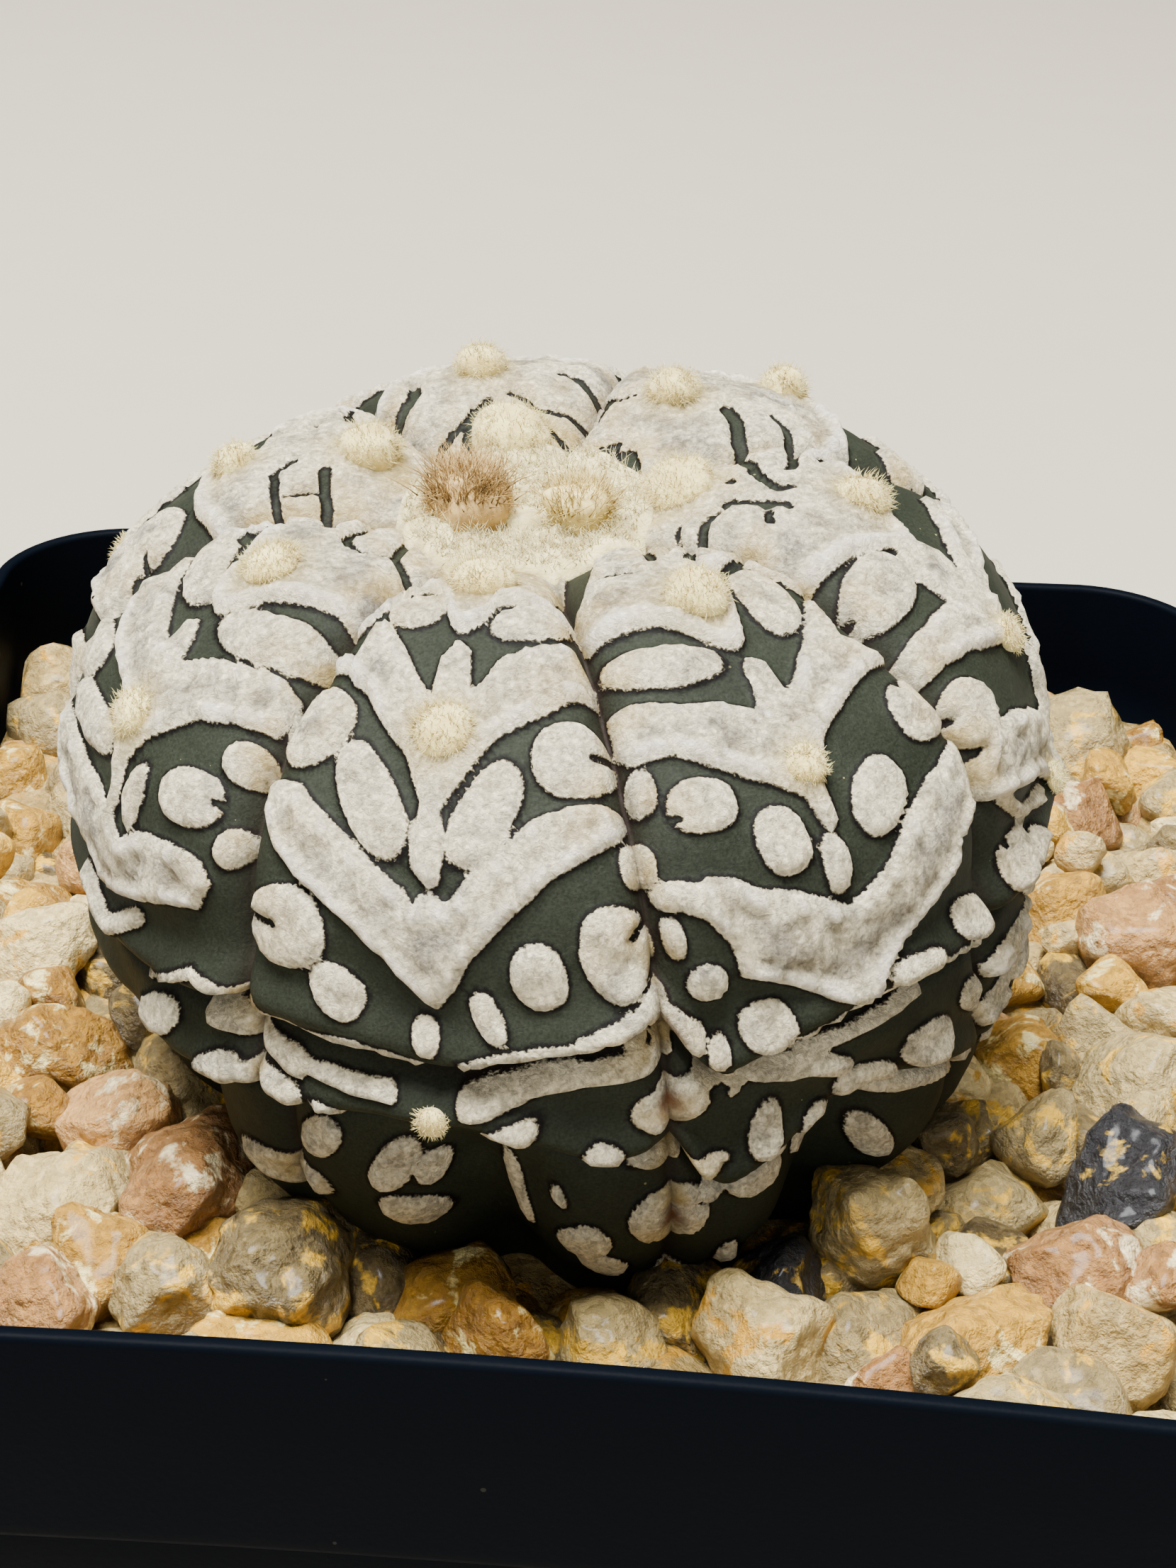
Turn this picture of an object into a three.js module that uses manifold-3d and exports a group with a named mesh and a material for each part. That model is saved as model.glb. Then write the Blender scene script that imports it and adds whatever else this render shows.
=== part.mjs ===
// Potted star cactus: a seven-ribbed plant in stones, in a square nursery pot.
// Millimetres, +Z up. The origin is the centre of the pot's flat underside, and the front is -Y.
import * as THREE from 'three'
import { mergeVertices } from 'three/addons/utils/BufferGeometryUtils.js'
import Module from 'manifold-3d'

// Pot
const POT_WIDTH = 102
const POT_HEIGHT = 89
const POT_BASE_WIDTH = 74
const POT_WALL = 1.5
const POT_FLOOR = 2
const RIM_BAND_HEIGHT = 14.8
const RIM_BAND_STEP = 1.3
const RIM_BAND_TAPER = 0.6
const RIM_LIP = 0.8
const TOP_CORNER_RADIUS = 10.6
const BASE_CORNER_RADIUS = 8
const CORNER_STEPS = 6
const SIDE_BOW = 1.3
const SIDE_STEPS = 4
const DRAIN_HOLE_RADIUS = 4
const DRAIN_HOLE_OFFSET = 22
const DRAIN_HOLE_SIDES = 12
// Room left between pieces that rest on each other
const SEAT_GAP = 0.3

// Fill
const GRAVEL_TOP = 83.5
const GRAVEL_BED_TOP = 81.4
const GRAVEL_BED_BOTTOM = 75.8
const STONE_PITCH = 8.1
const STONE_STRETCH = new THREE.Vector3(1.12, 0.94, 0.74)
const STONE_SMALLEST = 0.5 * STONE_PITCH
const STONE_SIZE_SPREAD = 0.13 * STONE_PITCH
const STONE_TILT = 0.7
const STONE_CORNER_SMALLEST = 0.9
const STONE_CORNER_SPREAD = 0.22
const STONE_SUNK = 0.7
const STONE_LIFT_SPREAD = 1.2
const STONE_SCATTER = 1.5
const STONE_TO_WALL = 3.5
const STONE_TO_PLANT = 17

// Plant: where it stands, how it leans, and how its middle line bends by the height of the crown
const PLANT_X = 2.1
const PLANT_Y = -9.8
const LEAN_LEFT = 4.4
const LEAN_FORWARD = 6
const BEND_HEIGHT = 30
const BEND_LEFT = 1.3
const BEND_BACK = 3.2

// The plant's outline over a rib, as radius and height above the stones, from the crown to the buried base
const CREST_OUTLINE = [
  [0, 32.3], [3.8, 32.4], [8.5, 34.5], [14.8, 35.8], [21.1, 33.7], [26.6, 29.8],
  [28.9, 24.3], [28.2, 16.8], [26.7, 9.7], [24.6, 2.9], [22.4, -2.4], [21.4, -5.9],
]
// The taproot below the base, as radius and height
const ROOT_OUTLINE = [[17.5, -9.5], [11, -14], [6, -21], [2.6, -31]]
const ROOT_TIP_HEIGHT = -36

// Ribs run from 0 at the front, counted to the right
const RIB_AZIMUTHS = [-7.3, 37.7, 84, 139, 192, 252, 306.2]
const COLUMNS_PER_RIB = 14

// Depths below the crown are measured along the skin. Rows of corners: wide over the crown, fine over the
// flecks and folds, and few where the stones hide the skin
const CROWN_ROW_STEP = 2.5
const FINE_ROWS_START = 10
const FINE_ROW_STEP = 1.65
const FINE_ROWS_END = 56
const BURIED_ROWS = [58.5, 62]

// Relief: each pair of depths is where a feature fades in or out
const CROWN_CALM = [1, 6]
const GROOVE_DEPTH = 1.5
const GROOVE_SHARPNESS = 7
const RIB_ROUNDING = 0.9
const GROOVE_FADE_IN = [3, 14]
const GROOVE_FADE_OUT = [38, 50]
// The hollow in the middle of each rib's shrunken lower part
const DENT_DEPTH = 2.4
const DENT_SHARE = 0.3
const DENT_FADE_IN = [42, 50]
const FOLD_WIDTH = 0.9
const FOLD_LIP_HEIGHT = 0.6
const FOLD_LIP_WIDTH = 1.6
const FOLD_LIP_ABOVE = 2
const FOLDS = [
  { deep: 1, depths: [39.3, 41, 41.6, 39.8, 41.4, 40.2, 41.2] },
  { deep: 1.5, depths: [45, 48, 47.4, 45.8, 48, 46.2, 47] },
]

// Woolly areoles down the middle of each rib
const AREOLE_HEIGHT = 0.7
const AREOLE_RADIUS = 1.6
const AREOLE_DEPTHS = [
  [11.9, 23.4, 34.3, 42], [17.8, 27.8, 37.6], [8.8, 20.6, 29.9, 39],
  [15.2, 25, 35], [8.8, 16.8, 27, 37], [12, 20.5, 31], [16.9, 27.9, 38],
]

// Wool flecks round each areole, as bars on both sides of the rib's middle. The ends give the share of the
// rib's half width and the mm below the areole: chevron arm, finger, stalk, oval and outer spot
const FLECK_BARS = [
  { from: [0, 2.3], to: [0.86, -2.8], half: 1.9 },
  { from: [0, -4.5], to: [0, 1], half: 1 },
  { from: [0, 4], to: [0, 7], half: 0.8 },
  { from: [0.26, 5.6], to: [0.48, 3.4], half: 1.5 },
  { from: [0.78, 1.4], to: [0.8, 2.2], half: 2 },
]
const FLECK_HEIGHT = 0.4
const FLECK_EDGE = [-0.3, 0.5]
const FLECK_FADE_OUT = [52, 55.5]

// The crown's wool lies in the sunken crown, thickest at its middle
const WOOL_RADIUS = 7.6
const WOOL_EDGE = 0.5
const WOOL_DEPTH = 1.3
const WOOL_LUMP = 0.35
const WOOL_LUMPS_ROUND = 5
const WOOL_LUMP_PITCH = 4.5
const WOOL_ROWS = [1.8, 3.6, 5.2, 6.5, 7.3]
const WOOL_SIDES = 20

// Withered flowers: the outline as shares of height and radius, then where each stands and how far it leans
const FLOWER_OUTLINE = [
  [0, 1.05], [0.14, 1.12], [0.3, 1.16], [0.46, 1.11], [0.62, 0.99], [0.78, 0.8], [0.92, 0.58],
]
const FLOWER_TIP_SHARE = 0.8
const FLOWER_SIDES = 12
const FLOWER_TWIST = 0.7
const FLOWER_FOOT_RAGGED = 0.1
const FLOWER_RAGGED = 0.34
const FLOWER_PEAK = 0.9
const DRIED_FLOWERS = [
  {
    name: 'dried_flower_left', azimuth: 268, fromMiddle: 4.1, height: 4, radius: 2.1,
    lean: [-0.9, 0.4], color: 0x9a6f48, seed: 1000,
  },
  {
    name: 'dried_flower_right', azimuth: 72, fromMiddle: 2.9, height: 3.5, radius: 1.8,
    lean: [0.7, -0.3], color: 0xb08a5a, seed: 2000,
  },
]

// The room that the stones and soil leave for the buried base and root
const ROOM_TOP_DEPTH = 50
const ROOM_ROW_STEP = 2
const ROOM_SIDES = 32

const wasm = await Module()
wasm.setup()

const radians = THREE.MathUtils.degToRad
const bell = (x, width) => Math.exp(-((x / width) ** 2))
const fade = (x, [from, to]) => THREE.MathUtils.smoothstep(x, from, to)
const evenTurns = sides => Array.from({ length: sides }, (_, i) => i * 360 / sides)

// A repeatable draw between 0 and 1 for each number
function draw(n) {
  const v = Math.sin(n * 12.9898 + 4.137) * 43758.5453
  return v - Math.floor(v)
}

// The geometry's shape alone, with the corners that lie at one place joined
function joined(geometry) {
  const bare = geometry.index ? geometry.toNonIndexed() : geometry.clone()
  bare.deleteAttribute('normal')
  bare.deleteAttribute('uv')
  return mergeVertices(bare, 1e-4)
}

function toSolid(geometry) {
  const merged = joined(geometry)
  return new wasm.Manifold(new wasm.Mesh({
    numProp: 3,
    vertProperties: new Float32Array(merged.attributes.position.array),
    triVerts: new Uint32Array(merged.index.array),
  }))
}

function toGeometry(solid) {
  const mesh = solid.getMesh()
  const geometry = new THREE.BufferGeometry()
  geometry.setAttribute('position', new THREE.BufferAttribute(mesh.vertProperties, 3))
  geometry.setIndex(new THREE.BufferAttribute(mesh.triVerts, 1))
  return geometry
}

// A closed skin over rows of points, each run anticlockwise from above, from an upper pole to a lower one
function skin(rows, firstPole, lastPole) {
  const count = rows[0].length
  const points = [firstPole, ...rows.flat(), lastPole]
  const last = points.length - 1
  const at = (row, i) => 1 + row * count + (i % count)
  const faces = []
  for (let i = 0; i < count; i++) {
    faces.push(0, at(0, i), at(0, i + 1))
    faces.push(last, at(rows.length - 1, i + 1), at(rows.length - 1, i))
    for (let row = 0; row + 1 < rows.length; row++) {
      faces.push(at(row, i), at(row + 1, i), at(row, i + 1))
      faces.push(at(row, i + 1), at(row + 1, i), at(row + 1, i + 1))
    }
  }
  const geometry = new THREE.BufferGeometry()
  geometry.setAttribute('position', new THREE.Float32BufferAttribute(points.flatMap(p => [p.x, p.y, p.z]), 3))
  geometry.setIndex(faces)
  return geometry
}

// One level of the pot: a square with round corners and sides that bow in, run anticlockwise
function potRing(half, cornerRadius, bow, z) {
  const ring = []
  const straight = half - cornerRadius
  for (let side = 0; side < 4; side++) {
    const turn = side * Math.PI / 2
    const put = (x, y) => ring.push(new THREE.Vector3(
      x * Math.cos(turn) - y * Math.sin(turn), x * Math.sin(turn) + y * Math.cos(turn), z))
    for (let k = 0; k < SIDE_STEPS; k++) {
      const t = 2 * k / SIDE_STEPS - 1
      put(t * straight, -half + bow * (1 - t * t))
    }
    for (let k = 0; k < CORNER_STEPS; k++) {
      const a = (k / CORNER_STEPS - 1) * Math.PI / 2
      put(straight + cornerRadius * Math.cos(a), -straight + cornerRadius * Math.sin(a))
    }
  }
  return ring
}

const bandBottom = POT_HEIGHT - RIM_BAND_HEIGHT
const bandBottomHalf = POT_WIDTH / 2 - RIM_BAND_TAPER
const wallTopHalf = bandBottomHalf - RIM_BAND_STEP

// One level of the tapered wall below the band, drawn in by an inset
function wallRing(z, inset) {
  const half = THREE.MathUtils.lerp(POT_BASE_WIDTH / 2, wallTopHalf, z / bandBottom)
  const corner = THREE.MathUtils.lerp(BASE_CORNER_RADIUS, TOP_CORNER_RADIUS, z / bandBottom)
  return potRing(half - inset, corner - inset, SIDE_BOW, z)
}

// One level of the rim band, drawn in by an inset
function bandRing(z, inset) {
  const half = bandBottomHalf + RIM_BAND_TAPER * (z - bandBottom) / RIM_BAND_HEIGHT
  return potRing(half - inset, TOP_CORNER_RADIUS - inset, SIDE_BOW, z)
}

// The inside of the pot at one height. Above the wall it steps out to the rim band over a short slope
function insideRing(z, gap) {
  const inset = POT_WALL + gap
  if (z <= bandBottom) {
    return wallRing(z, inset)
  }
  const half = bandBottomHalf + RIM_BAND_TAPER * (z - bandBottom) / RIM_BAND_HEIGHT
  const onSlope = Math.max(0, 1 - (z - bandBottom) / RIM_BAND_STEP)
  return potRing(half - RIM_BAND_STEP * onSlope - inset, TOP_CORNER_RADIUS - inset, SIDE_BOW, z)
}

// What fills the pot from one height to another, drawn in by a gap
function potFill(bottom, top, gap) {
  const levels = [bottom, bandBottom, bandBottom + RIM_BAND_STEP, top].filter(z => z >= bottom && z <= top)
  const rings = levels.map(z => insideRing(z, gap)).reverse()
  return skin(rings, new THREE.Vector3(0, 0, top), new THREE.Vector3(0, 0, bottom))
}

function potGeometry() {
  const rows = [
    insideRing(POT_FLOOR, 0),
    insideRing(bandBottom, 0),
    insideRing(bandBottom + RIM_BAND_STEP, 0),
    insideRing(POT_HEIGHT - RIM_LIP / 2, 0),
    bandRing(POT_HEIGHT, POT_WALL - RIM_LIP / 2),
    bandRing(POT_HEIGHT, RIM_LIP / 2),
    bandRing(POT_HEIGHT - RIM_LIP / 2, 0),
    bandRing(bandBottom + RIM_BAND_TAPER, 0),
    bandRing(bandBottom, RIM_BAND_TAPER),
    wallRing(bandBottom, 0),
    wallRing(RIM_LIP, 0),
    wallRing(0, RIM_LIP),
  ]
  let shell = toSolid(skin(rows, new THREE.Vector3(0, 0, POT_FLOOR), new THREE.Vector3(0, 0, 0)))
  const hole = new THREE.CylinderGeometry(DRAIN_HOLE_RADIUS, DRAIN_HOLE_RADIUS, 4 * POT_FLOOR, DRAIN_HOLE_SIDES)
  hole.rotateX(Math.PI / 2)
  for (const x of [-DRAIN_HOLE_OFFSET, DRAIN_HOLE_OFFSET]) {
    for (const y of [-DRAIN_HOLE_OFFSET, DRAIN_HOLE_OFFSET]) {
      shell = shell.subtract(toSolid(hole).translate([x, y, 0]))
    }
  }
  return toGeometry(shell)
}

// A rib's middle azimuth and the degrees from it to the groove on each side
function ribSpan(rib) {
  const count = RIB_AZIMUTHS.length
  const middle = RIB_AZIMUTHS[rib]
  const before = RIB_AZIMUTHS.at(rib - 1) - (rib === 0 ? 360 : 0)
  const after = RIB_AZIMUTHS[(rib + 1) % count] + (rib === count - 1 ? 360 : 0)
  return { middle, left: (middle - before) / 2, right: (after - middle) / 2 }
}

// Where an azimuth lies among the ribs: the rib's number, and -1 to 1 from groove to groove
function ribPlace(azimuth) {
  for (let rib = 0; rib < RIB_AZIMUTHS.length; rib++) {
    const { middle, left, right } = ribSpan(rib)
    const off = THREE.MathUtils.euclideanModulo(azimuth - middle + 180, 360) - 180
    if (off >= -left - 1e-6 && off < right - 1e-6) {
      const half = off < 0 ? left : right
      return { rib, across: off / half, off, half }
    }
  }
  throw new Error(`no rib holds azimuth ${azimuth}`)
}

// A value listed for each rib's middle, eased from rib to rib
function easedByRib(list, place) {
  const next = (place.rib + (place.across < 0 ? -1 : 1) + list.length) % list.length
  const share = (1 - Math.cos(Math.PI * Math.abs(place.across) / 2)) / 2
  return THREE.MathUtils.lerp(list[place.rib], list[next], share)
}

const crest = new THREE.SplineCurve(CREST_OUTLINE.map(([r, z]) => new THREE.Vector2(r, z)))
crest.arcLengthDivisions = 600
const crestLength = crest.getLength()

function distanceToBar(x, y, [x0, y0], [x1, y1]) {
  const along = ((x - x0) * (x1 - x0) + (y - y0) * (y1 - y0)) / ((x1 - x0) ** 2 + (y1 - y0) ** 2)
  const t = THREE.MathUtils.clamp(along, 0, 1)
  return Math.hypot(x - x0 - t * (x1 - x0), y - y0 - t * (y1 - y0))
}

// How far the wool flecks cover a place, x across the rib and y down it from an areole
function fleckCover(x, y, ribHalf) {
  const inside = FLECK_BARS.map(({ from, to, half }) => half - distanceToBar(
    Math.abs(x), y, [from[0] * ribHalf, from[1]], [to[0] * ribHalf, to[1]]))
  return fade(Math.max(...inside), FLECK_EDGE)
}

// How far the skin stands out from the rib outline at an azimuth and a depth below the crown
function skinHeight(azimuth, depth, radius) {
  const place = ribPlace(azimuth)
  const side = Math.abs(place.across)
  const upper = fade(depth, GROOVE_FADE_IN) * (1 - fade(depth, GROOVE_FADE_OUT))
  let height = -upper * (GROOVE_DEPTH * side ** GROOVE_SHARPNESS + RIB_ROUNDING * side ** 2)
  height -= DENT_DEPTH * fade(depth, DENT_FADE_IN) * bell(place.across, DENT_SHARE)
  for (const { deep, depths } of FOLDS) {
    const below = depth - easedByRib(depths, place)
    height += FOLD_LIP_HEIGHT * bell(below + FOLD_LIP_ABOVE, FOLD_LIP_WIDTH) - deep * bell(below, FOLD_WIDTH)
  }
  const x = radians(place.off) * radius
  const bare = 1 - fade(depth, FLECK_FADE_OUT)
  let cover = 0
  for (const areole of AREOLE_DEPTHS[place.rib]) {
    const y = depth - areole
    cover = Math.max(cover, fleckCover(x, y, radians(place.half) * radius))
    height += bare * AREOLE_HEIGHT * bell(Math.hypot(x, y), AREOLE_RADIUS)
  }
  return height + bare * FLECK_HEIGHT * cover
}

// A place in the plant's own frame, moved as its middle line bends
function bend(x, y, z) {
  const k = (z / BEND_HEIGHT) ** 2
  return new THREE.Vector3(x - BEND_LEFT * k, y + BEND_BACK * k, z)
}

function roundPoint(azimuth, radius, z) {
  return bend(radius * Math.sin(radians(azimuth)), -radius * Math.cos(radians(azimuth)), z)
}

function skinPoint(azimuth, depth, lift = 0) {
  const u = Math.min(depth / crestLength, 1)
  const p = crest.getPointAt(u)
  const t = crest.getTangentAt(u)
  const out = skinHeight(azimuth, depth, p.x) * fade(depth, CROWN_CALM) + lift
  return roundPoint(azimuth, p.x - t.y * out, p.y + t.x * out)
}

// The azimuth of each column: even steps from groove to groove inside each rib
function columnAzimuths() {
  const list = []
  for (let rib = 0; rib < RIB_AZIMUTHS.length; rib++) {
    const { middle, left, right } = ribSpan(rib)
    for (let k = 0; k < COLUMNS_PER_RIB; k++) {
      const across = 2 * k / COLUMNS_PER_RIB - 1
      list.push(middle + across * (across < 0 ? left : right))
    }
  }
  return list
}

function rowDepths() {
  const depths = []
  for (let depth = CROWN_ROW_STEP; depth <= FINE_ROWS_START; depth += CROWN_ROW_STEP) {
    depths.push(depth)
  }
  for (let depth = FINE_ROWS_START + FINE_ROW_STEP; depth < FINE_ROWS_END; depth += FINE_ROW_STEP) {
    depths.push(depth)
  }
  return [...depths, ...BURIED_ROWS, crestLength]
}

function cactusGeometry() {
  const columns = columnAzimuths()
  const rows = rowDepths().map(depth => columns.map(a => skinPoint(a, depth)))
  for (const [r, z] of ROOT_OUTLINE) {
    rows.push(columns.map(a => roundPoint(a, r, z)))
  }
  return skin(rows, bend(0, 0, CREST_OUTLINE[0][1]), bend(0, 0, ROOT_TIP_HEIGHT))
}

function rootRoom() {
  const azimuths = evenTurns(ROOM_SIDES)
  const wide = FLECK_HEIGHT + SEAT_GAP
  const rows = []
  for (let depth = ROOM_TOP_DEPTH; depth < crestLength; depth += ROOM_ROW_STEP) {
    const p = crest.getPointAt(depth / crestLength)
    rows.push(azimuths.map(a => roundPoint(a, p.x + wide, p.y)))
  }
  for (const [r, z] of [CREST_OUTLINE.at(-1), ...ROOT_OUTLINE]) {
    rows.push(azimuths.map(a => roundPoint(a, r + wide, z - wide)))
  }
  return skin(rows, bend(0, 0, rows[0][0].z + 1), bend(0, 0, ROOT_TIP_HEIGHT - 2 * wide))
}

// How far the wool's surface stands out from the skin
function woolTop(azimuth, depth) {
  const k = Math.min(depth / WOOL_RADIUS, 1)
  const wave = Math.sin(2 * Math.PI * depth / WOOL_LUMP_PITCH)
  const lump = wave * Math.sin(radians(azimuth) * WOOL_LUMPS_ROUND + 1)
  return SEAT_GAP + WOOL_EDGE + WOOL_DEPTH * Math.sqrt(1 - k * k) + WOOL_LUMP * lump * (1 - k)
}

function woolGeometry() {
  const azimuths = evenTurns(WOOL_SIDES)
  const top = WOOL_ROWS.map(d => azimuths.map(a => skinPoint(a, d, woolTop(a, d))))
  const under = WOOL_ROWS.map(d => azimuths.map(a => skinPoint(a, d, SEAT_GAP)))
  const middle = CREST_OUTLINE[0][1]
  return skin([...top, ...under.reverse()], bend(0, 0, middle + woolTop(0, 0)), bend(0, 0, middle + SEAT_GAP))
}

// Height of the wool's surface at a place given from the crown's middle, before the bend
function woolHeight(x, y) {
  const azimuth = THREE.MathUtils.radToDeg(Math.atan2(x, -y))
  const depth = Math.hypot(x, y)
  return skinPoint(azimuth, depth, woolTop(azimuth, depth)).z
}

// A withered flower: a ragged, twisted tuft that stands on the highest wool under its foot
function driedFlowerGeometry({ azimuth, fromMiddle, height, radius, lean, seed }) {
  const turns = evenTurns(FLOWER_SIDES).map(radians)
  const footX = fromMiddle * Math.sin(radians(azimuth))
  const footY = -fromMiddle * Math.cos(radians(azimuth))
  const footRadius = radius * FLOWER_OUTLINE[0][1]
  const under = turns.map(a => woolHeight(footX + footRadius * Math.sin(a), footY - footRadius * Math.cos(a)))
  const foot = bend(footX, footY, Math.max(...under) + 1.5 * SEAT_GAP)
  const rows = FLOWER_OUTLINE.map(([k, swell], level) => turns.map((turn, i) => {
    const a = turn + FLOWER_TWIST * k
    const spread = k > 0 ? FLOWER_RAGGED : FLOWER_FOOT_RAGGED
    const ragged = 1 + spread * (draw(seed + level * FLOWER_SIDES + i) - 0.5)
    const peak = level === FLOWER_OUTLINE.length - 1 ? FLOWER_PEAK * draw(seed + 400 + i) : 0
    return new THREE.Vector3(
      foot.x + lean[0] * k + radius * swell * ragged * Math.sin(a),
      foot.y + lean[1] * k - radius * swell * ragged * Math.cos(a),
      foot.z + height * k + peak)
  }))
  const tip = new THREE.Vector3(foot.x + lean[0], foot.y + lean[1], foot.z + height * FLOWER_TIP_SHARE)
  return skin(rows.reverse(), tip, foot)
}

// One stone: a twelve-cornered pebble, stretched and knocked out of true
function stoneSolid(n, x, y) {
  const pebble = joined(new THREE.IcosahedronGeometry(1, 0))
  const position = pebble.attributes.position
  const size = STONE_SMALLEST + STONE_SIZE_SPREAD * draw(n)
  const tiltX = STONE_TILT * draw(n + 0.3)
  const tiltY = STONE_TILT * draw(n + 0.6)
  const turn = new THREE.Euler(tiltX, tiltY, 2 * Math.PI * draw(n + 0.9))
  const z = GRAVEL_BED_TOP - STONE_SUNK + STONE_LIFT_SPREAD * draw(n + 0.5)
  for (let i = 0; i < position.count; i++) {
    const p = new THREE.Vector3().fromBufferAttribute(position, i)
    p.multiplyScalar(size * (STONE_CORNER_SMALLEST + STONE_CORNER_SPREAD * draw(n * 13 + i)))
    p.multiply(STONE_STRETCH).applyEuler(turn)
    position.setXYZ(i, p.x + x, p.y + y, p.z + z)
  }
  return toSolid(pebble)
}

// Stone middles on staggered rows over the whole pot, each moved a little
function stonePlaces() {
  const places = []
  const rowStep = STONE_PITCH * Math.sqrt(3) / 2
  const edge = POT_WIDTH / 2 - STONE_TO_WALL
  for (let row = 0, y = -edge; y <= edge; row++, y += rowStep) {
    for (let x = -edge + (row % 2) * STONE_PITCH / 2; x <= edge; x += STONE_PITCH) {
      const n = places.length
      places.push([n, x + STONE_SCATTER * (draw(n + 0.1) - 0.5), y + STONE_SCATTER * (draw(n + 0.2) - 0.5)])
    }
  }
  return places
}

const plant = new THREE.Group()
plant.position.set(PLANT_X, PLANT_Y, GRAVEL_TOP)
plant.rotation.set(radians(LEAN_FORWARD), radians(-LEAN_LEFT), 0, 'YXZ')
plant.updateMatrixWorld()
const room = toSolid(rootRoom().applyMatrix4(plant.matrixWorld))

function gravelGeometry() {
  const stones = stonePlaces()
    .filter(([, x, y]) => Math.hypot(x - PLANT_X, y - PLANT_Y) > STONE_TO_PLANT)
    .map(([n, x, y]) => stoneSolid(n, x, y))
  const bed = toSolid(potFill(GRAVEL_BED_BOTTOM, GRAVEL_BED_TOP, SEAT_GAP))
  const inside = toSolid(potFill(GRAVEL_BED_BOTTOM, POT_HEIGHT, SEAT_GAP))
  return toGeometry(wasm.Manifold.union([bed, ...stones]).intersect(inside).subtract(room))
}

function pottingMixGeometry() {
  const fill = toSolid(potFill(POT_FLOOR + SEAT_GAP, GRAVEL_BED_BOTTOM - SEAT_GAP, SEAT_GAP))
  return toGeometry(fill.subtract(room))
}

function piece(name, geometry, color, roughness) {
  const mesh = new THREE.Mesh(geometry, new THREE.MeshStandardMaterial({ color, roughness, metalness: 0 }))
  mesh.name = name
  return mesh
}

plant.add(
  piece('cactus', cactusGeometry(), 0x8a8d7c, 0.8),
  piece('crown_wool', woolGeometry(), 0xdccba0, 1),
)
for (const flower of DRIED_FLOWERS) {
  plant.add(piece(flower.name, driedFlowerGeometry(flower), flower.color, 0.95))
}

const group = new THREE.Group()
group.add(
  piece('pot', potGeometry(), 0x14171d, 0.55),
  piece('potting_mix', pottingMixGeometry(), 0x3a3028, 1),
  piece('gravel', gravelGeometry(), 0xb39a6c, 0.6),
  plant,
)

export default group
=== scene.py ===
import math
from collections import namedtuple
from itertools import product

import bmesh
import bpy
import numpy as np
from mathutils import Matrix, Vector


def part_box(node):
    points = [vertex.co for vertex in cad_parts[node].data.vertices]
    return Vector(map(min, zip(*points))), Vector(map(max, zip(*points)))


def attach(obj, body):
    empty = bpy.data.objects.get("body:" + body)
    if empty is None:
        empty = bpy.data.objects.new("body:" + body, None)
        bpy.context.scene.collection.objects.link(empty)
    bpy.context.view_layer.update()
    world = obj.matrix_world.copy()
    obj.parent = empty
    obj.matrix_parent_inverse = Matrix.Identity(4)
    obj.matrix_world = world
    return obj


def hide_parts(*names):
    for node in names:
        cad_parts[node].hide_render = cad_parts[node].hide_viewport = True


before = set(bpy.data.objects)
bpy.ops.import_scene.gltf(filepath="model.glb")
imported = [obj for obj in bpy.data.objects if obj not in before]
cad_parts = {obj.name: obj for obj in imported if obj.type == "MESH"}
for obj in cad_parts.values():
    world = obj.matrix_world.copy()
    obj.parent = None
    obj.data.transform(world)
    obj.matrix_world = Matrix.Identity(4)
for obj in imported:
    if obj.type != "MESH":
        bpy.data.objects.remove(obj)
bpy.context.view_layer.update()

bl_info = {
    "name": "Potted star cactus",
    "version": (1, 0, 0),
    "blender": (4, 5, 0),
    "location": "View3D > Sidebar > Cactus",
    "description": "A white-flecked star cactus in stones, in a square nursery pot",
    "category": "Add Mesh",
}

# Lengths below are in mm unless a name says otherwise. The pot's underside is at 0, and the front is -Y.
MM = 0.001
pot_low, pot_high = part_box("pot")
POT_HEIGHT = (pot_high.z - pot_low.z) / MM
POT_WIDTH = (pot_high.x - pot_low.x) / MM

# Pot
POT_BASE_WIDTH = 74
POT_WALL = 1.1
POT_FLOOR = 2
RIM_BAND_HEIGHT = 14.8
RIM_BAND_STEP = 1.3
RIM_BAND_TAPER = 0.6
RIM_LIP = 0.8
TOP_CORNER_RADIUS = 10.6
BASE_CORNER_RADIUS = 8
BASE_EDGE_RADIUS = 0.8
SIDE_BOW = 1.3
SIDE_STEPS = 12
CORNER_STEPS = 14
ARC_STEPS = 5
DRAIN_HOLE_RADIUS = 4
DRAIN_HOLE_OFFSET = 22
BAND_BOTTOM = POT_HEIGHT - RIM_BAND_HEIGHT
BAND_BOTTOM_HALF = POT_WIDTH / 2 - RIM_BAND_TAPER

# Fill
GRAVEL_TOP = 83.5
GRIT_TOP = 78
GRAVEL_BOTTOM = 76.2

# Plant: where it stands, how it leans, and how its middle line bends by the height of the crown.
# The outlines run outward and down from the crown's middle, as radius and height over the stones
PLANT_AT = (2.1, -9.8, GRAVEL_TOP)
LEAN_LEFT = 4.4
LEAN_FORWARD = 6
BEND_HEIGHT = 30
BEND_LEFT = 1.3
BEND_BACK = 3.2
CREST_OUTLINE = [
    (0, 32.3), (3.8, 32.4), (8.5, 34.5), (14.8, 35.8), (21.1, 33.7), (26.6, 29.8),
    (28.9, 24.3), (28.2, 16.8), (26.7, 9.7), (24.6, 2.9), (22.4, -2.4), (21.4, -5.9),
]
ROOT_OUTLINE = [(17.5, -9.5), (11, -14), (6, -21), (2.6, -31)]
ROOT_TIP_HEIGHT = -36

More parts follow.
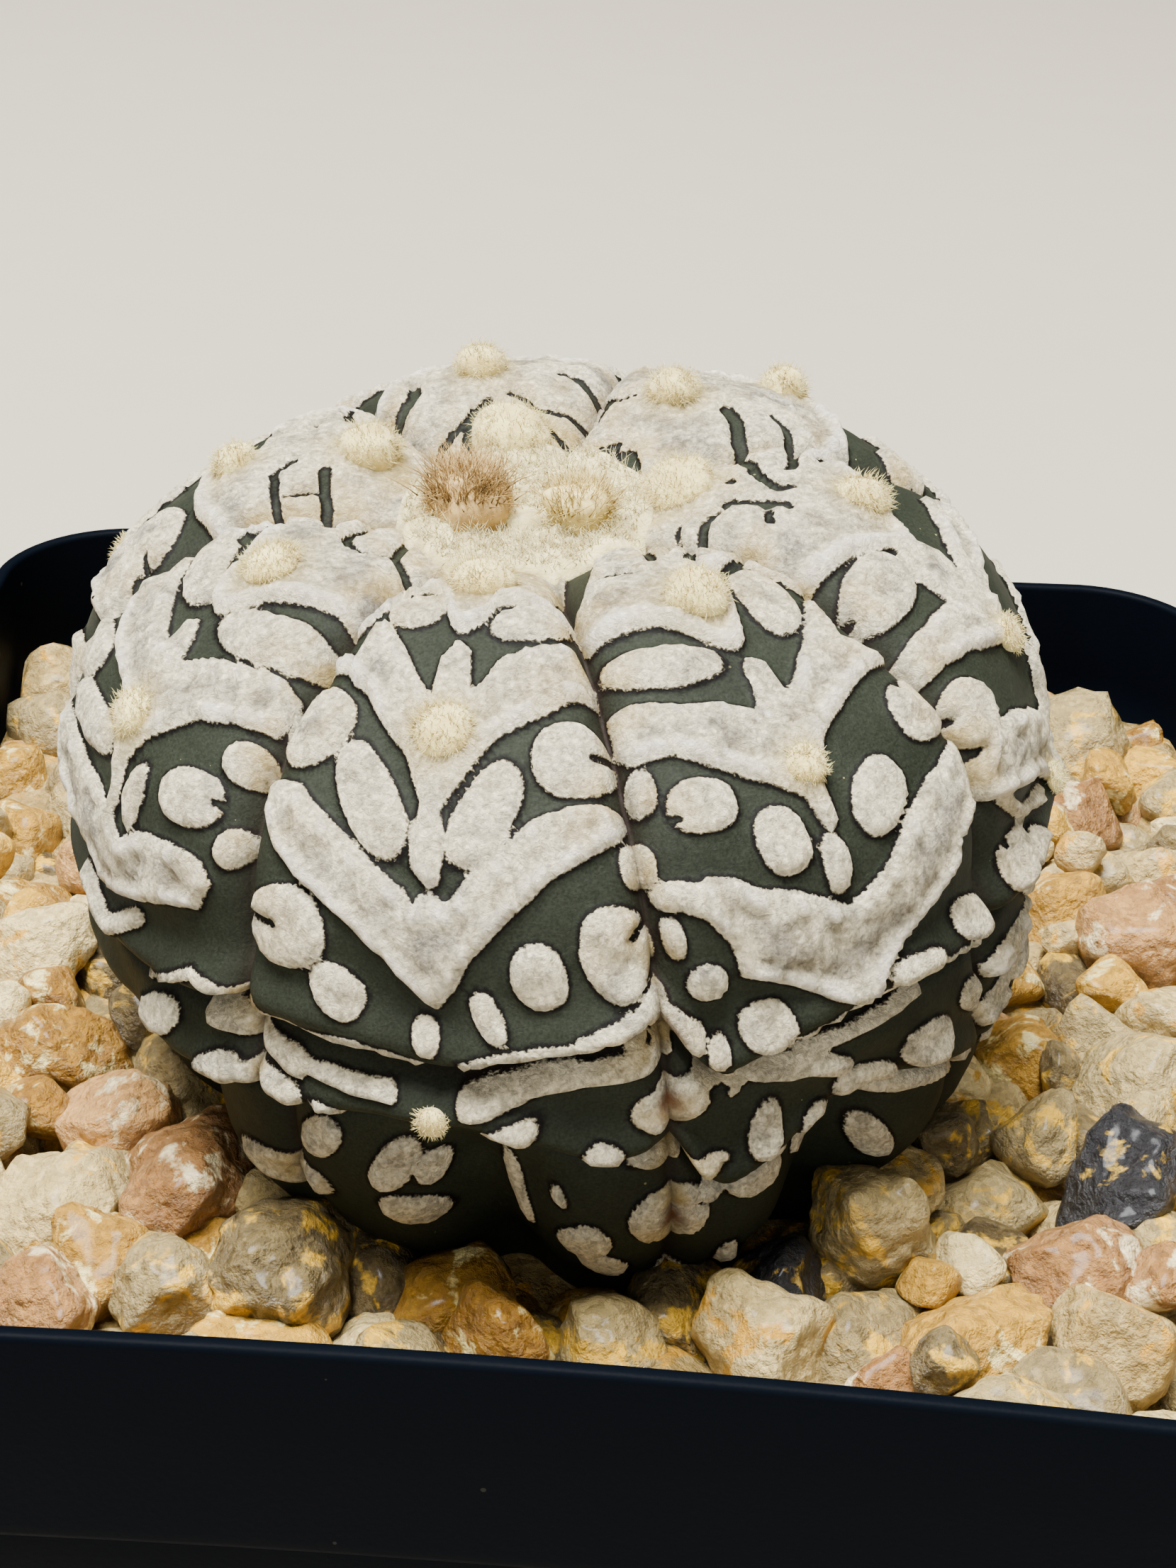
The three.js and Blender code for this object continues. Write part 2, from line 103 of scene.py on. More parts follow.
# Ribs run from 0 at the front, counted to the right in degrees
RIB_AZIMUTHS = [-7.3, 37.7, 84, 139, 192, 252, 306.2]
CROWN_CALM = (1, 6)
GROOVE_DEPTH = 1.7
GROOVE_WIDTH = 0.75
RIB_ROUNDING = 0.35
GROOVE_FADE_IN = (3, 14)
GROOVE_FADE_OUT = (38, 50)
DENT_DEPTH = 3.2
DENT_SHARE = 0.32
DENT_FADE_IN = (43, 50)

# Folds: where each crease runs, as azimuth and depth below the crown along the skin
FOLD_LIP_HEIGHT = 1.25
FOLD_LIP_WIDTH = 1.3
FOLD_LIP_ABOVE = 1.5
FOLD_CREASE_WIDTH = 0.55
SECOND_TIER_BULGE = 0.9
THIRD_TIER_BULGE = 1.3
UPPER_FOLD = (1.5, [
    (-107, 40.8), (-80, 41.5), (-53, 41.2), (-40, 40.6), (-30, 39.6), (-17, 39.5), (-7, 40.3),
    (3, 39.5), (12, 38.9), (15.2, 38.4), (20, 42.8), (27.5, 41.4), (36, 40.6), (45, 40.8),
    (54, 41.9), (61, 42.8), (84, 41.6), (139, 39.8), (192, 41.4),
])
LOWER_FOLD = (1.9, [
    (-107, 46.2), (-53, 47), (-39, 45.8), (-24, 44.7), (-17, 44), (-5, 43.7), (0, 44.8), (5, 46.4),
    (11, 47.2), (15.2, 46), (20, 51), (28, 49), (37, 47.8), (50, 48.9), (56, 50.3), (64, 52.2),
    (84, 47.8), (139, 45.8), (192, 48),
])

# Woolly areoles down the middle of each rib: azimuth, depth, how far the wool stands out, and its radius
Areole = namedtuple("Areole", "azimuth depth proud radius")
AREOLES = [
    [Areole(-7, 12.2, 1.3, 1.9), Areole(-7, 23.1, 0.9, 1.6), Areole(-8.8, 42.1, 0.6, 0.85)],
    [Areole(38, 17.4, 1.5, 1.7), Areole(37, 27.6, 0.7, 1.1)],
    [Areole(92, 9.6, 1.4, 2.2), Areole(89, 20.2, 1.2, 1.6), Areole(80, 29.9, 0.6, 1.1),
     Areole(82, 39, 0.4, 0.9)],
    [Areole(141, 14.2, 1.5, 1.6), Areole(140, 24, 1.6, 1.5), Areole(139, 35, 0.6, 1.2)],
    [Areole(191, 9, 1.9, 2.4), Areole(195, 15.6, 1.6, 1.6), Areole(192, 27, 1.2, 1.4),
     Areole(192, 37, 0.5, 1)],
    [Areole(245, 11.6, 1.7, 1.9), Areole(257, 19.2, 1.3, 1.4), Areole(254, 31, 0.7, 1.2)],
    [Areole(305, 16.9, 0.8, 1.7), Areole(307, 27.7, 0.8, 1.4)],
]

# Hairs on a tuft for each mm of its radius, and on the crown
TUFT_HAIRS = 330
CROWN_HAIRS = 5200

# White wool flecks. Each outline runs round its fleck as azimuth and depth; chevrons are the wide V shapes
CHEVRONS = [
    [
        (-24.4, 16.9), (-21.2, 16.8), (-16.9, 18.1), (-11.9, 20), (-10, 20.9), (-9.3, 18.6), (-7, 17.4),
        (-4.6, 18), (-3.9, 20.6), (-3.1, 20.3), (0, 18.6), (5, 17.9), (11, 17.5), (14, 17.8), (15.4, 19.6),
        (15.2, 21), (10, 21.4), (5, 22.2), (0.6, 23.1), (-2.5, 24.5), (-5, 26), (-6.3, 27), (-5.4, 28.3),
        (-6.2, 30.3), (-7.5, 30.6), (-9.4, 29.5), (-9.6, 27.6), (-9, 26.5), (-11.9, 24.2), (-15.6, 23),
        (-20, 21.4), (-24.4, 20.5), (-28, 20.4), (-29, 19.3), (-26, 19), (-25, 19.3),
    ],
    [
        (-30, 26.9), (-26.9, 26.6), (-23.8, 26.8), (-20, 27.8), (-16.3, 28.9), (-12.5, 30), (-10.2, 30.6),
        (-9.2, 31.3), (-8.2, 30.7), (-6.6, 30.8), (-5.6, 31.1), (-3.8, 30.3), (0, 28.9), (4.4, 27.3),
        (8.8, 26.7), (12.5, 26.6), (14.8, 27), (15.2, 27.9), (13.8, 28.6), (10, 29.4), (5.6, 30.3),
        (1.3, 31.9), (-3.1, 33.9), (-5, 35.3), (-6.9, 36.4), (-7.6, 36.4), (-9.4, 35.6), (-12.5, 34.2),
        (-16.9, 32.5), (-22.5, 31.1), (-26.3, 30), (-28.6, 28.7), (-30, 28.4),
    ],
    [
        (15.8, 21.7), (20, 21.9), (25, 22.4), (31.3, 23.1), (35.6, 24.2), (36, 24.2), (37.3, 21.8),
        (38.8, 21.4), (41, 22), (41, 23.9), (42.5, 23.6), (46.3, 22.5), (51.3, 21.4), (56, 20.1),
        (57.7, 20.3), (57, 21.6), (55.6, 22.8), (57.5, 24), (60, 25.3), (53.8, 25.1), (47.5, 25.7),
        (42, 26.7), (39.5, 27.8), (38.5, 29), (38.2, 30.4), (37, 31.1), (36.2, 30.6), (35.4, 28.9),
        (32.5, 27.8), (27.5, 26.4), (22.5, 25.2), (17, 24.9), (15.5, 24),
    ],
    [
        (19, 31.9), (22, 31.1), (25, 31.4), (27.5, 32.2), (31.3, 32.8), (34.4, 33.6), (36.9, 34.5),
        (38.8, 34.2), (42.5, 33.3), (46.9, 31.9), (51.3, 31.1), (55.6, 30.6), (59.8, 30.3), (60.3, 31.1),
        (59.8, 32.5), (58.8, 34), (54.4, 35), (53.8, 35.6), (50, 36.4), (45, 37.2), (40.6, 38.3),
        (37.5, 39.6), (36.9, 39.7), (35, 39.2), (31.9, 38.3), (27.5, 37.2), (23.8, 36.4), (23.1, 34.4),
        (21, 33), (19, 32.6),
    ],
    [
        (-77, 20.4), (-71.3, 21.4), (-66.3, 22.2), (-61.3, 23.3), (-58.5, 23.9), (-58.5, 22), (-56.5, 21.7),
        (-54.5, 22.8), (-53.8, 23.9), (-51.9, 23.6), (-47.5, 22.5), (-41.3, 22.1), (-35, 21.7),
        (-31.5, 22.2), (-31.3, 23.3), (-32, 24.7), (-37.5, 25), (-42.5, 25.7), (-46.9, 27.2), (-49.4, 28.3),
        (-50.5, 29.6), (-51, 31.5), (-52, 33.3), (-53, 32), (-53.5, 29.8), (-56.3, 27.8), (-60, 27.2),
        (-65, 26.6), (-70, 25.8), (-75, 24.9), (-77.5, 23.5), (-76, 22.2),
    ],
    [
        (-77.5, 32.2), (-71, 31.6), (-63.8, 31.4), (-56.3, 31.8), (-51.3, 32.8), (-50, 33.6), (-48.8, 33.3),
        (-45, 32.2), (-40, 31.9), (-35.6, 32.1), (-34, 33), (-36, 34.7), (-41.3, 35.3), (-45, 36.1),
        (-50, 37), (-53, 37.4), (-57, 36.4), (-62, 36), (-70, 34.6), (-75, 33.4),
    ],
    [
        (60.5, 25.6), (66, 25.4), (72, 25.6), (76, 26), (79, 27), (84, 26.4), (90, 25.4), (97, 25),
        (103, 24.8), (104.5, 26.5), (98, 27.8), (90, 28.2), (84, 28.8), (80, 30.5), (77, 29.6), (72, 28.4),
        (66, 27.6), (61, 27.4),
    ],
]

# Ovals and spots: azimuth, depth, width, height, and lean in degrees with the top to the right. A cut is the
# direction of a notch in degrees, counted anticlockwise from the right, and how far it reaches in, 0 to 1
Spot = namedtuple("Spot", "azimuth depth wide high lean cut", defaults=[None])
SPOTS = [
    Spot(-17.9, 15.5, 3, 2.9, 0), Spot(5.6, 16, 4.2, 2.7, -10), Spot(-15.3, 26.7, 3, 6.2, -36),
    Spot(-1, 27, 2.9, 5.8, 30), Spot(-25.6, 23.6, 4.4, 4.6, 30, (150, 0.25)),
    Spot(10, 24.3, 4.3, 4, 0, (5, 0.7)), Spot(-24, 33.7, 5, 4.2, -15, (185, 0.9)),
    Spot(-17.9, 36.2, 3.2, 2.3, 15), Spot(-8.4, 37.7, 1.4, 1.9, 0), Spot(-2.1, 36.7, 1.5, 2.5, -25),
    Spot(3.5, 34.8, 2.8, 3.3, -10), Spot(11.6, 34, 3.8, 4.7, -12, (25, 0.7)), Spot(-28.5, 43.4, 5, 2, -15),
    Spot(-20.5, 43.4, 2, 1.4, 30), Spot(-2.2, 43.3, 3.8, 1.5, -20), Spot(7.5, 45.4, 2.2, 1.9, 20),
    Spot(-25.3, 47.5, 2.2, 3.6, 38), Spot(-16.4, 48.6, 2.2, 4.6, 28), Spot(-12.6, 49.5, 1.6, 3, 20),
    Spot(-2.8, 51.3, 1.2, 7.2, -5), Spot(2.4, 49.9, 0.8, 1.7, -10), Spot(4.8, 53.6, 2.8, 3, -20),
    Spot(6.8, 56.4, 2, 3.6, -35), Spot(-33, 51.8, 6.5, 2.6, 0), Spot(-16, 52.8, 4, 2.4, 40),
    Spot(15.3, 43.4, 4.2, 2.4, 0), Spot(15.5, 47.6, 5, 1.6, 0), Spot(15, 52.2, 4.4, 4.4, 0, (10, 0.5)),
    Spot(15.5, 60, 5, 3, 0), Spot(17.3, 26.4, 1.6, 2.5, 0), Spot(15.3, 30, 2, 2.6, 0),
    Spot(18.5, 31.7, 2.5, 1.5, 0), Spot(17.5, 33.8, 1.2, 2.2, 0), Spot(25.7, 20.3, 6.5, 2.5, 15),
    Spot(49.9, 18.9, 3, 4.6, 8), Spot(36.4, 32.3, 1.7, 2.9, 0),
    Spot(31.3, 30.4, 2.8, 3.3, -10), Spot(44.8, 30.3, 4.2, 3.2, -25),
    Spot(23.8, 27.8, 3.7, 2.7, 5, (200, 0.4)),
    Spot(56.6, 28, 3.9, 3.5, 10, (90, 0.35)), Spot(20.3, 36.4, 2.2, 2.2, 0), Spot(26, 39.3, 2.9, 2.5, 0),
    Spot(20.7, 40.2, 1.2, 1.6, 0), Spot(44.4, 39.4, 4.2, 1.7, 15), Spot(55, 39.6, 4.2, 2, 28),
    Spot(25.6, 46.2, 1.9, 3.7, 10), Spot(31.9, 46.9, 1.7, 2.3, 25), Spot(38.7, 46, 4.4, 2.4, 25),
    Spot(48, 45.8, 4.4, 2.6, 18), Spot(57.5, 45.8, 3.6, 2, 35), Spot(64, 33.6, 3.2, 1.8, 35),
    Spot(65, 30.3, 4.4, 3.6, 20, (160, 0.5)), Spot(26, 51.5, 3.5, 2, 0), Spot(35, 52, 2.6, 2.4, 0),
    Spot(45, 54, 2, 4.6, -30), Spot(22.5, 57.5, 1.3, 3, 0), Spot(69.4, 22.6, 6.3, 3.8, 0, (175, 0.3)),
    Spot(80.5, 24.7, 3.8, 4.4, 0), Spot(-68, 19.3, 6.4, 3.8, 35), Spot(-41.3, 20.2, 8.2, 3.2, -8),
    Spot(-75, 28.2, 6.8, 3.2, -12), Spot(-63, 29.8, 7.6, 2.4, 0), Spot(-48, 31, 1.6, 3.7, 10),
    Spot(-38.8, 29.4, 4.6, 3, -8, (10, 0.5)), Spot(-33.5, 26.6, 2.8, 2.3, 0), Spot(-32.2, 31, 1.6, 2.4, 30),
    Spot(-36, 44, 4, 2, -30), Spot(-47, 43.5, 5, 2, -30), Spot(-91, 24.4, 6, 5, 0, (0, 0.7)),
]

# White lips beside the folds: the line of each as azimuth and depth, and its half width
LIPS = [
    ([(-49, 41.8), (-43, 39.8), (-37, 38.2), (-25, 38.9), (-17, 38.6), (-9.5, 39.4)], 0.28),
    ([(-36.5, 41), (-30, 41.1), (-24, 41.2)], 0.75),
    ([(-24, 41.2), (-18, 41.2), (-13, 41.3)], 0.42),
    ([(-5, 38.9), (1, 38.3), (7, 38)], 0.28),
    ([(7, 38), (11, 37.4), (15, 36.8)], 0.55),
    ([(-5, 41.5), (2, 40.8), (11, 40.5), (15.2, 40.5)], 0.62),
    ([(-38, 46), (-24, 44.9), (-17, 44.1)], 0.22),
    ([(2, 45.6), (6, 46.8), (11, 47.4), (15, 46.6), (21, 47.6)], 0.22),
    ([(17, 42.6), (21, 42.4), (24, 42.4), (32, 43.1), (35, 43.9)], 0.7),
    ([(30, 42.2), (38, 42), (46, 41.9)], 0.4),
    ([(20, 51.3), (28, 50.1), (37, 49.2), (50, 50), (58, 51.6), (64, 53)], 0.75),
    ([(22, 43.6), (28, 40.6), (36, 39.8), (46, 39.9), (55, 40.9)], 0.22),
    ([(-62, 38.6), (-53, 39.3), (-47, 37.5)], 0.5),
    ([(65, 35.4), (70, 37.8), (78, 39)], 0.5),
    ([(12.4, 39.4), (15.2, 37.6), (18.4, 39.2), (15.4, 39.8)], 0.6),
    ([(12, 43.6), (15.2, 42.4), (18.6, 43.5)], 0.5),
    ([(12, 52.6), (15.2, 51.4), (18.2, 52.8)], 0.6),
]

# Small brown scars where a groove meets a fold: azimuth and depth
SCARS = [(15.4, 38.6), (15.3, 43.3), (15.2, 52.3)]

# The crown is white down to these depths, listed as azimuth and depth
CROWN_EDGE = [
    (-100, 21.8), (-95, 21.4), (-90, 20.8), (-85, 19.9), (-80, 19.3), (-75.5, 19), (-74.5, 17.4),
    (-71, 15.8), (-67, 16.6), (-63, 18.1), (-60.5, 19.3), (-58.5, 20.6), (-55, 20.9), (-52, 20),
    (-48, 18.6), (-44, 17.9), (-38, 17.3), (-34, 17), (-29, 17.5), (-26.5, 17.6), (-25.2, 17),
    (-25, 16.3), (-24.3, 14.8), (-22.5, 13.9), (-20, 13.6), (-16, 13.9), (-12.5, 14.8), (-11, 15.7),
    (-9, 16.8), (-7, 17.1), (-5, 16.8), (-3, 16.1), (-1.8, 15.2), (-0.5, 14.7), (3, 14.5), (8, 14.6),
    (12, 15), (14.2, 15.7), (15.6, 17.6), (18, 17.7), (25, 17.8), (29, 18.1), (32, 18.9), (35, 20),
    (36.2, 20.6), (38, 20.9), (40.5, 20.6), (42, 19.6), (44, 18.2), (46, 16.7), (49.4, 15.9), (53, 16.2),
    (55.4, 17.7), (57.3, 19.4), (58.5, 19.7), (62, 19.8), (66, 20), (70, 20.3), (74, 20.8), (78, 21.8),
    (81, 22.8), (84, 23.6), (88, 22.2), (92, 21.5), (95, 20.8), (100, 20), (103, 18.2), (104.5, 18.6),
    (108, 20.2), (112, 20.8), (118, 22), (124, 23.4), (130, 24), (140, 26.5), (148, 24), (163, 19.5),
    (180, 20), (192, 22), (204, 20), (222, 17.5), (240, 20), (252, 22),
]

# Dark cracks part the crown's pads. Each runs through places on a map of the crown, laid flat along the skin
# from its middle: mm to the right and mm to the back, with the crack's half width
CRACKS = [
    ([(-5, -2.5), (-4.5, -3.6), (-4, -4.9), (-3.7, -6.7), (-3.4, -9.4)], 0.16),
    ([(-6.8, -2.6), (-7, -4.1), (-7.3, -6.1), (-7.4, -7.1), (-6.5, -8.5), (-5.6, -10.2), (-5, -12)], 0.24),
    ([(-8.1, -1.3), (-8.9, -2), (-9.4, -3.5), (-9.9, -4.9), (-10.3, -5.7), (-9.8, -7.3), (-8.9, -7.6),
      (-7.4, -7.1)], 0.22),
    ([(-12.9, 2.7), (-12.6, 0.9), (-12.1, -1.1), (-11.7, -2.9), (-11.5, -4.6)], 0.3),
    ([(-15, 3.7), (-15.8, 1.8), (-15.4, -0.5), (-14.9, -2.6), (-14.2, -4.8)], 0.22),
    ([(-14.8, -0.5), (-12.9, 0.1)], 0.1),
    ([(-16.5, -5.1), (-15.9, -6.1), (-16.5, -8.2)], 0.4),
    ([(-15.9, -5.4), (-14.9, -5.4)], 0.3),
    ([(3.2, -3.8), (3.6, -6.4), (3.6, -9.4), (3.3, -12)], 0.75),
    ([(3.3, -11.4), (3.1, -13.6)], 0.3),
    ([(4.2, -10.5), (6.8, -11.1)], 0.3),
    ([(1.7, -3.2), (2, -4.4), (2.4, -5.8)], 0.13),
    ([(6.1, -2.3), (7, -4.6), (7.9, -7), (8.4, -9.9)], 0.24),
    ([(9.5, -3.5), (9.1, -6.1), (8.9, -8.8)], 0.1),
    ([(12.1, -3.2), (11, -4.1), (10.5, -5.8), (10.2, -7.9), (10.4, -9.6)], 0.24),
    ([(12.6, -2.5), (14.1, -3.2), (15.7, -3)], 0.42),
    ([(14.8, -4), (14.8, -5)], 0.2),
    ([(13.8, -7.4), (13.2, -9.1), (12.4, -10.4)], 0.22),
    ([(13.9, 1.8), (14.6, 0), (15.5, -1.4), (16.2, -0.8)], 0.3),
    ([(12.5, 0.6), (12.9, -0.1)], 0.18),
    ([(12, 10.1), (12.7, 8.3), (12.9, 5.9), (12.7, 3.6), (13.8, 2.4)], 0.4),
    ([(14.8, 10), (16, 8), (16.3, 5.4), (16.3, 2.7), (16, 1.4)], 0.25),
    ([(20.2, 11.2), (21.1, 7.7)], 0.7),
    ([(18, 4.2), (19.4, 4.5), (20.8, 2.7), (20.8, 1.5)], 0.42),
    ([(5.8, 6.5), (6.1, 4.8), (6.7, 2.7)], 0.6),
    ([(4.5, 7.3), (6, 7)], 0.2),
    ([(2.6, 7.6), (5.1, 7.9)], 0.22),
    ([(0.1, 10), (1.4, 9), (2.4, 8)], 0.16),
    ([(1.3, 7.3), (2.1, 7.5)], 0.3),
    ([(3.5, 10.9), (4.4, 12.1), (5.8, 12.4), (7.9, 12.6)], 0.18),
    ([(0.5, 15.8), (2.3, 15.1), (3.5, 13.9), (4.5, 12.7), (3.8, 12.1)], 0.3),
    ([(-2.1, 12.9), (-1.1, 12.3), (-0.2, 11.2), (1.5, 11.4), (3.2, 10.8)], 0.18),
    ([(-3.4, 12.1), (-4.2, 11.2), (-4.5, 9.8), (-4.8, 7.4)], 0.32),
    ([(-4.5, 10.6), (-5.6, 9.2), (-6.5, 7.7), (-6.9, 6.7)], 0.2),
    ([(-8.6, 14.5), (-8.4, 13), (-9.2, 11.5), (-10.1, 9.8), (-9.6, 8.6)], 0.4),
    ([(-12.4, 11.8), (-12.5, 10), (-12.1, 8.6)], 0.22),
    ([(-10.2, 7.7), (-8.3, 7.4)], 0.18),
    ([(-18.9, 12.1), (-18, 9.2), (-18.1, 6.2)], 0.65),
    ([(-17.1, 8.3), (-15.4, 8.1), (-13, 8.9)], 0.22),
]

# The usual set of flecks round an areole, on the right of the rib's middle: share of the rib's half width,
# and mm below the areole. The chevron's half outline runs from its finger's tip to its stalk's foot
USUAL_CHEVRON = [
    (0, -6), (0.09, -5.2), (0.13, -2.8), (0.3, -4.2), (0.52, -5.6), (0.8, -6), (0.97, -4.6), (0.95, -2.4),
    (0.7, -1.8), (0.4, -0.6), (0.16, 1.4), (0.06, 3), (0.1, 5), (0.05, 6.8), (0, 7.2),
]
USUAL_SPOTS = [Spot(0.36, 4.4, 3, 6, 36), Spot(0.78, 1.8, 4.3, 4, 0), Spot(0.5, 10.3, 3, 2.6, 12)]
USUAL_DEPTHS = {2: (37.5, 48), 3: (24.2, 35, 45.5, 56), 4: (27, 37, 47.5, 57), 5: (31, 41.5, 52)}
CRACK_SPREAD = 0.07
FLECK_HEIGHT = 0.5
FLECK_EDGE = (-0.08, 0.28)
ROLL_HEIGHT = 0.22
ROLL_AT = 0.55
FLECK_FADE_OUT = (58, 61)

# Withered flowers in the wool: shift to the right of the node, height, radius, lean and number of bristles
Flower = namedtuple("Flower", "node right height radius lean hairs")
FLOWERS = [
    Flower("dried_flower_left", 1.0, 5.2, 1.9, (0.2, 0.2), 1100),
    Flower("dried_flower_right", 0.2, 4.2, 1.7, (0.5, -0.2), 600),
]

# Stones that the eye picks out: x, y, height of the middle, radius, and kind as its place in STONE_KINDS
Stone = namedtuple("Stone", "x y z radius kind")
NAMED_STONES = [
    Stone(20.8, -29.5, 82.8, 3.9, 0), Stone(14.6, -32.5, 80.4, 3.0, 4), Stone(-12.5, -34.5, 81.2, 4.3, 0),
    Stone(-27.5, -30.2, 80.6, 3.7, 3), Stone(-20, -27.6, 81, 4.4, 2), Stone(-1, -37.4, 79.4, 3.3, 1),
    Stone(5.5, -37.6, 79.8, 3.2, 0), Stone(-5.2, -40.8, 79.8, 2.6, 0), Stone(26.2, -36.6, 81, 3.9, 1),
    Stone(36.5, -22, 82, 4.3, 4), Stone(-35.5, -6, 81.8, 4.2, 3), Stone(-30.5, -15.5, 81, 3.6, 1),
    Stone(14.3, -37.6, 80.4, 4.0, 3), Stone(20.6, -41.3, 80.6, 2.7, 2), Stone(-26, -22, 80.6, 3.4, 2),
    Stone(-19, -36.5, 80.2, 3.2, 0), Stone(32, -30, 81.2, 3.2, 2), Stone(38, -12, 82.2, 3.8, 0),
    Stone(34, -36, 80.8, 3.4, 3), Stone(-26, -38, 80, 3.0, 2),
]
# Stones in front of the first y have the most faces, those behind the second the fewest
NEAR_STONES, SEEN_STONES = -14, 12

# Where the bed lies lower: x, y, how much lower and how far that reaches
HOLLOWS = [(6, -38, 2.6, 12), (-44, 32, 3.4, 24), (-24, -42, 1.2, 12), (40, 34, 1.6, 16)]
STONE_KINDS = ["quartz", "ochre", "rose", "cream", "dark"]
STONE_FACES = 17
# Settling: turns in all, turns in which stones sink, how far they sink and are pushed apart in each, in mm
SETTLE_TURNS = 260
SINK_TURNS = 220
SINK_STEP = 0.16
LARGEST_PUSH = 1.2
PUSH_SHARE = 0.34
STONE_SPACING = 0.93
STONE_SHARES = [0.42, 0.27, 0.09, 0.215, 0.005]

# Stage: the floor's radius in metres
FLOOR_RADIUS = 4


def soft_step(x, edges):
    """0 below the first edge, 1 above the second, and smooth between."""
    t = np.clip((x - edges[0]) / (edges[1] - edges[0]), 0, 1)
    return t * t * (3 - 2 * t)


def bell(x, width):
    return np.exp(-((x / width) ** 2))


def unit(vectors):
    return vectors / np.linalg.norm(vectors, axis=1, keepdims=True)


def value_noise(points, size, seed):
    """Smooth noise from -1 to 1 over 3-D points, with lumps of about the given size."""
    table = np.random.default_rng(seed).uniform(-1, 1, 4096)
    cell = np.asarray(points) / size
    base = np.floor(cell).astype(np.int64)
    t = cell - base
    t = t * t * (3 - 2 * t)
    total = np.zeros(len(cell))
    for corner in product((0, 1), repeat=3):
        at = base + np.array(corner)
        weight = np.prod(np.where(np.array(corner), t, 1 - t), axis=1)
        mixed = at[:, 0] * 73856093 ^ at[:, 1] * 19349663 ^ at[:, 2] * 83492791
        total += weight * table[mixed % len(table)]
    return total


def linear(hex_code, alpha=1.0):
    """Blender's linear colour for an sRGB hex code."""
    parts = [int(hex_code[i:i + 2], 16) / 255 for i in (1, 3, 5)]
    return [p / 12.92 if p <= 0.04045 else ((p + 0.055) / 1.055) ** 2.4 for p in parts] + [alpha]


def add_node(tree, kind, inputs=None, **settings):
    """Add a shader node. Its inputs are plain values or the output sockets that feed them."""
    node = tree.nodes.new("ShaderNode" + kind)
    for name, value in settings.items():
        setattr(node, name, value)
    for socket, value in (inputs or {}).items():
        if isinstance(value, bpy.types.NodeSocket):
            tree.links.new(value, node.inputs[socket])
        else:
            node.inputs[socket].default_value = value
    return node


def new_material(name, **shader_values):
    """A material with a principled shader and object coordinates: returns material, tree, shader, place."""
    material = bpy.data.materials.new(name)
    material.use_nodes = True
    tree = material.node_tree
    tree.nodes.clear()
    shader = add_node(tree, "BsdfPrincipled", shader_values)
    add_node(tree, "OutputMaterial", {"Surface": shader.outputs[0]})
    place = add_node(tree, "TexCoord").outputs["Object"]
    return material, tree, shader, place


def scattered_specks(tree, place, cell, share, reach):
    """Round specks in a share of cells of a given width in metres: a socket with 1 on a speck, else 0."""
    cells = add_node(tree, "TexVoronoi", {"Vector": place, "Scale": 1 / cell})
    chance = add_node(tree, "SeparateColor", {"Color": cells.outputs["Color"]})
    size = add_node(tree, "MapRange", {"Value": chance.outputs[0], "From Min": 1 - share, "To Max": reach})
    return add_node(tree, "Math", {0: size.outputs[0], 1: cells.outputs["Distance"]},
                    operation="GREATER_THAN").outputs[0]


def make_piece(name, points, faces, material, values=None, vectors=None):
    """A smooth-shaded mesh object from points in mm, with point values that its material reads."""
    mesh = bpy.data.meshes.new(name)
    mesh.from_pydata((np.asarray(points) * MM).tolist(), [], faces)
    for key, data in (values or {}).items():
        mesh.attributes.new(key, "FLOAT", "POINT").data.foreach_set("value", np.asarray(data, np.float32))
    for key, data in (vectors or {}).items():
        flat = np.asarray(data, np.float32).ravel()
        mesh.attributes.new(key, "FLOAT_VECTOR", "POINT").data.foreach_set("vector", flat)
    mesh.polygons.foreach_set("use_smooth", [True] * len(mesh.polygons))
    mesh.materials.append(material)
    mesh.update()
    piece = bpy.data.objects.new(name, mesh)
    bpy.context.scene.collection.objects.link(piece)
    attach(piece, "root")
    return piece


def skin_faces(rows, count, first=0):
    """Faces between rows of count points that run round, with a pole before the first and after the last."""
    at = lambda row, i: first + 1 + row * count + i % count
    last = first + 1 + rows * count
    faces = [(first, at(0, i), at(0, i + 1)) for i in range(count)]
    faces += [(last, at(rows - 1, i + 1), at(rows - 1, i)) for i in range(count)]
    for row in range(rows - 1):
        faces += [(at(row, i), at(row + 1, i), at(row + 1, i + 1), at(row, i + 1)) for i in range(count)]
    return faces


def pot_ring(half, corner_radius, z):
    """One level of the pot: a square with round corners and sides that bow in, run anticlockwise."""
    straight = half - corner_radius
    t = np.arange(SIDE_STEPS) * 2 / SIDE_STEPS - 1
    a = (np.arange(CORNER_STEPS) / CORNER_STEPS - 1) * math.pi / 2
    x = np.r_[t * straight, straight + corner_radius * np.cos(a)]
    y = np.r_[-half + SIDE_BOW * (1 - t * t), -straight + corner_radius * np.sin(a)]
    turns = [(x, y), (-y, x), (-x, -y), (y, -x)]
    return np.concatenate([np.c_[u, v, np.full(len(u), z)] for u, v in turns])


def wall_row(z, inset):
    k = z / BAND_BOTTOM
    half = POT_BASE_WIDTH / 2 + (BAND_BOTTOM_HALF - RIM_BAND_STEP - POT_BASE_WIDTH / 2) * k
    corner = BASE_CORNER_RADIUS + (TOP_CORNER_RADIUS - BASE_CORNER_RADIUS) * k
    return half - inset, corner - inset, z


def band_row(z, inset):
    half = BAND_BOTTOM_HALF + RIM_BAND_TAPER * (z - BAND_BOTTOM) / RIM_BAND_HEIGHT
    return half - inset, TOP_CORNER_RADIUS - inset, z


def inner_half(z):
    """Half width of the pot's inside in the rim band, before the bow."""
    return band_row(z, POT_WALL)[0]


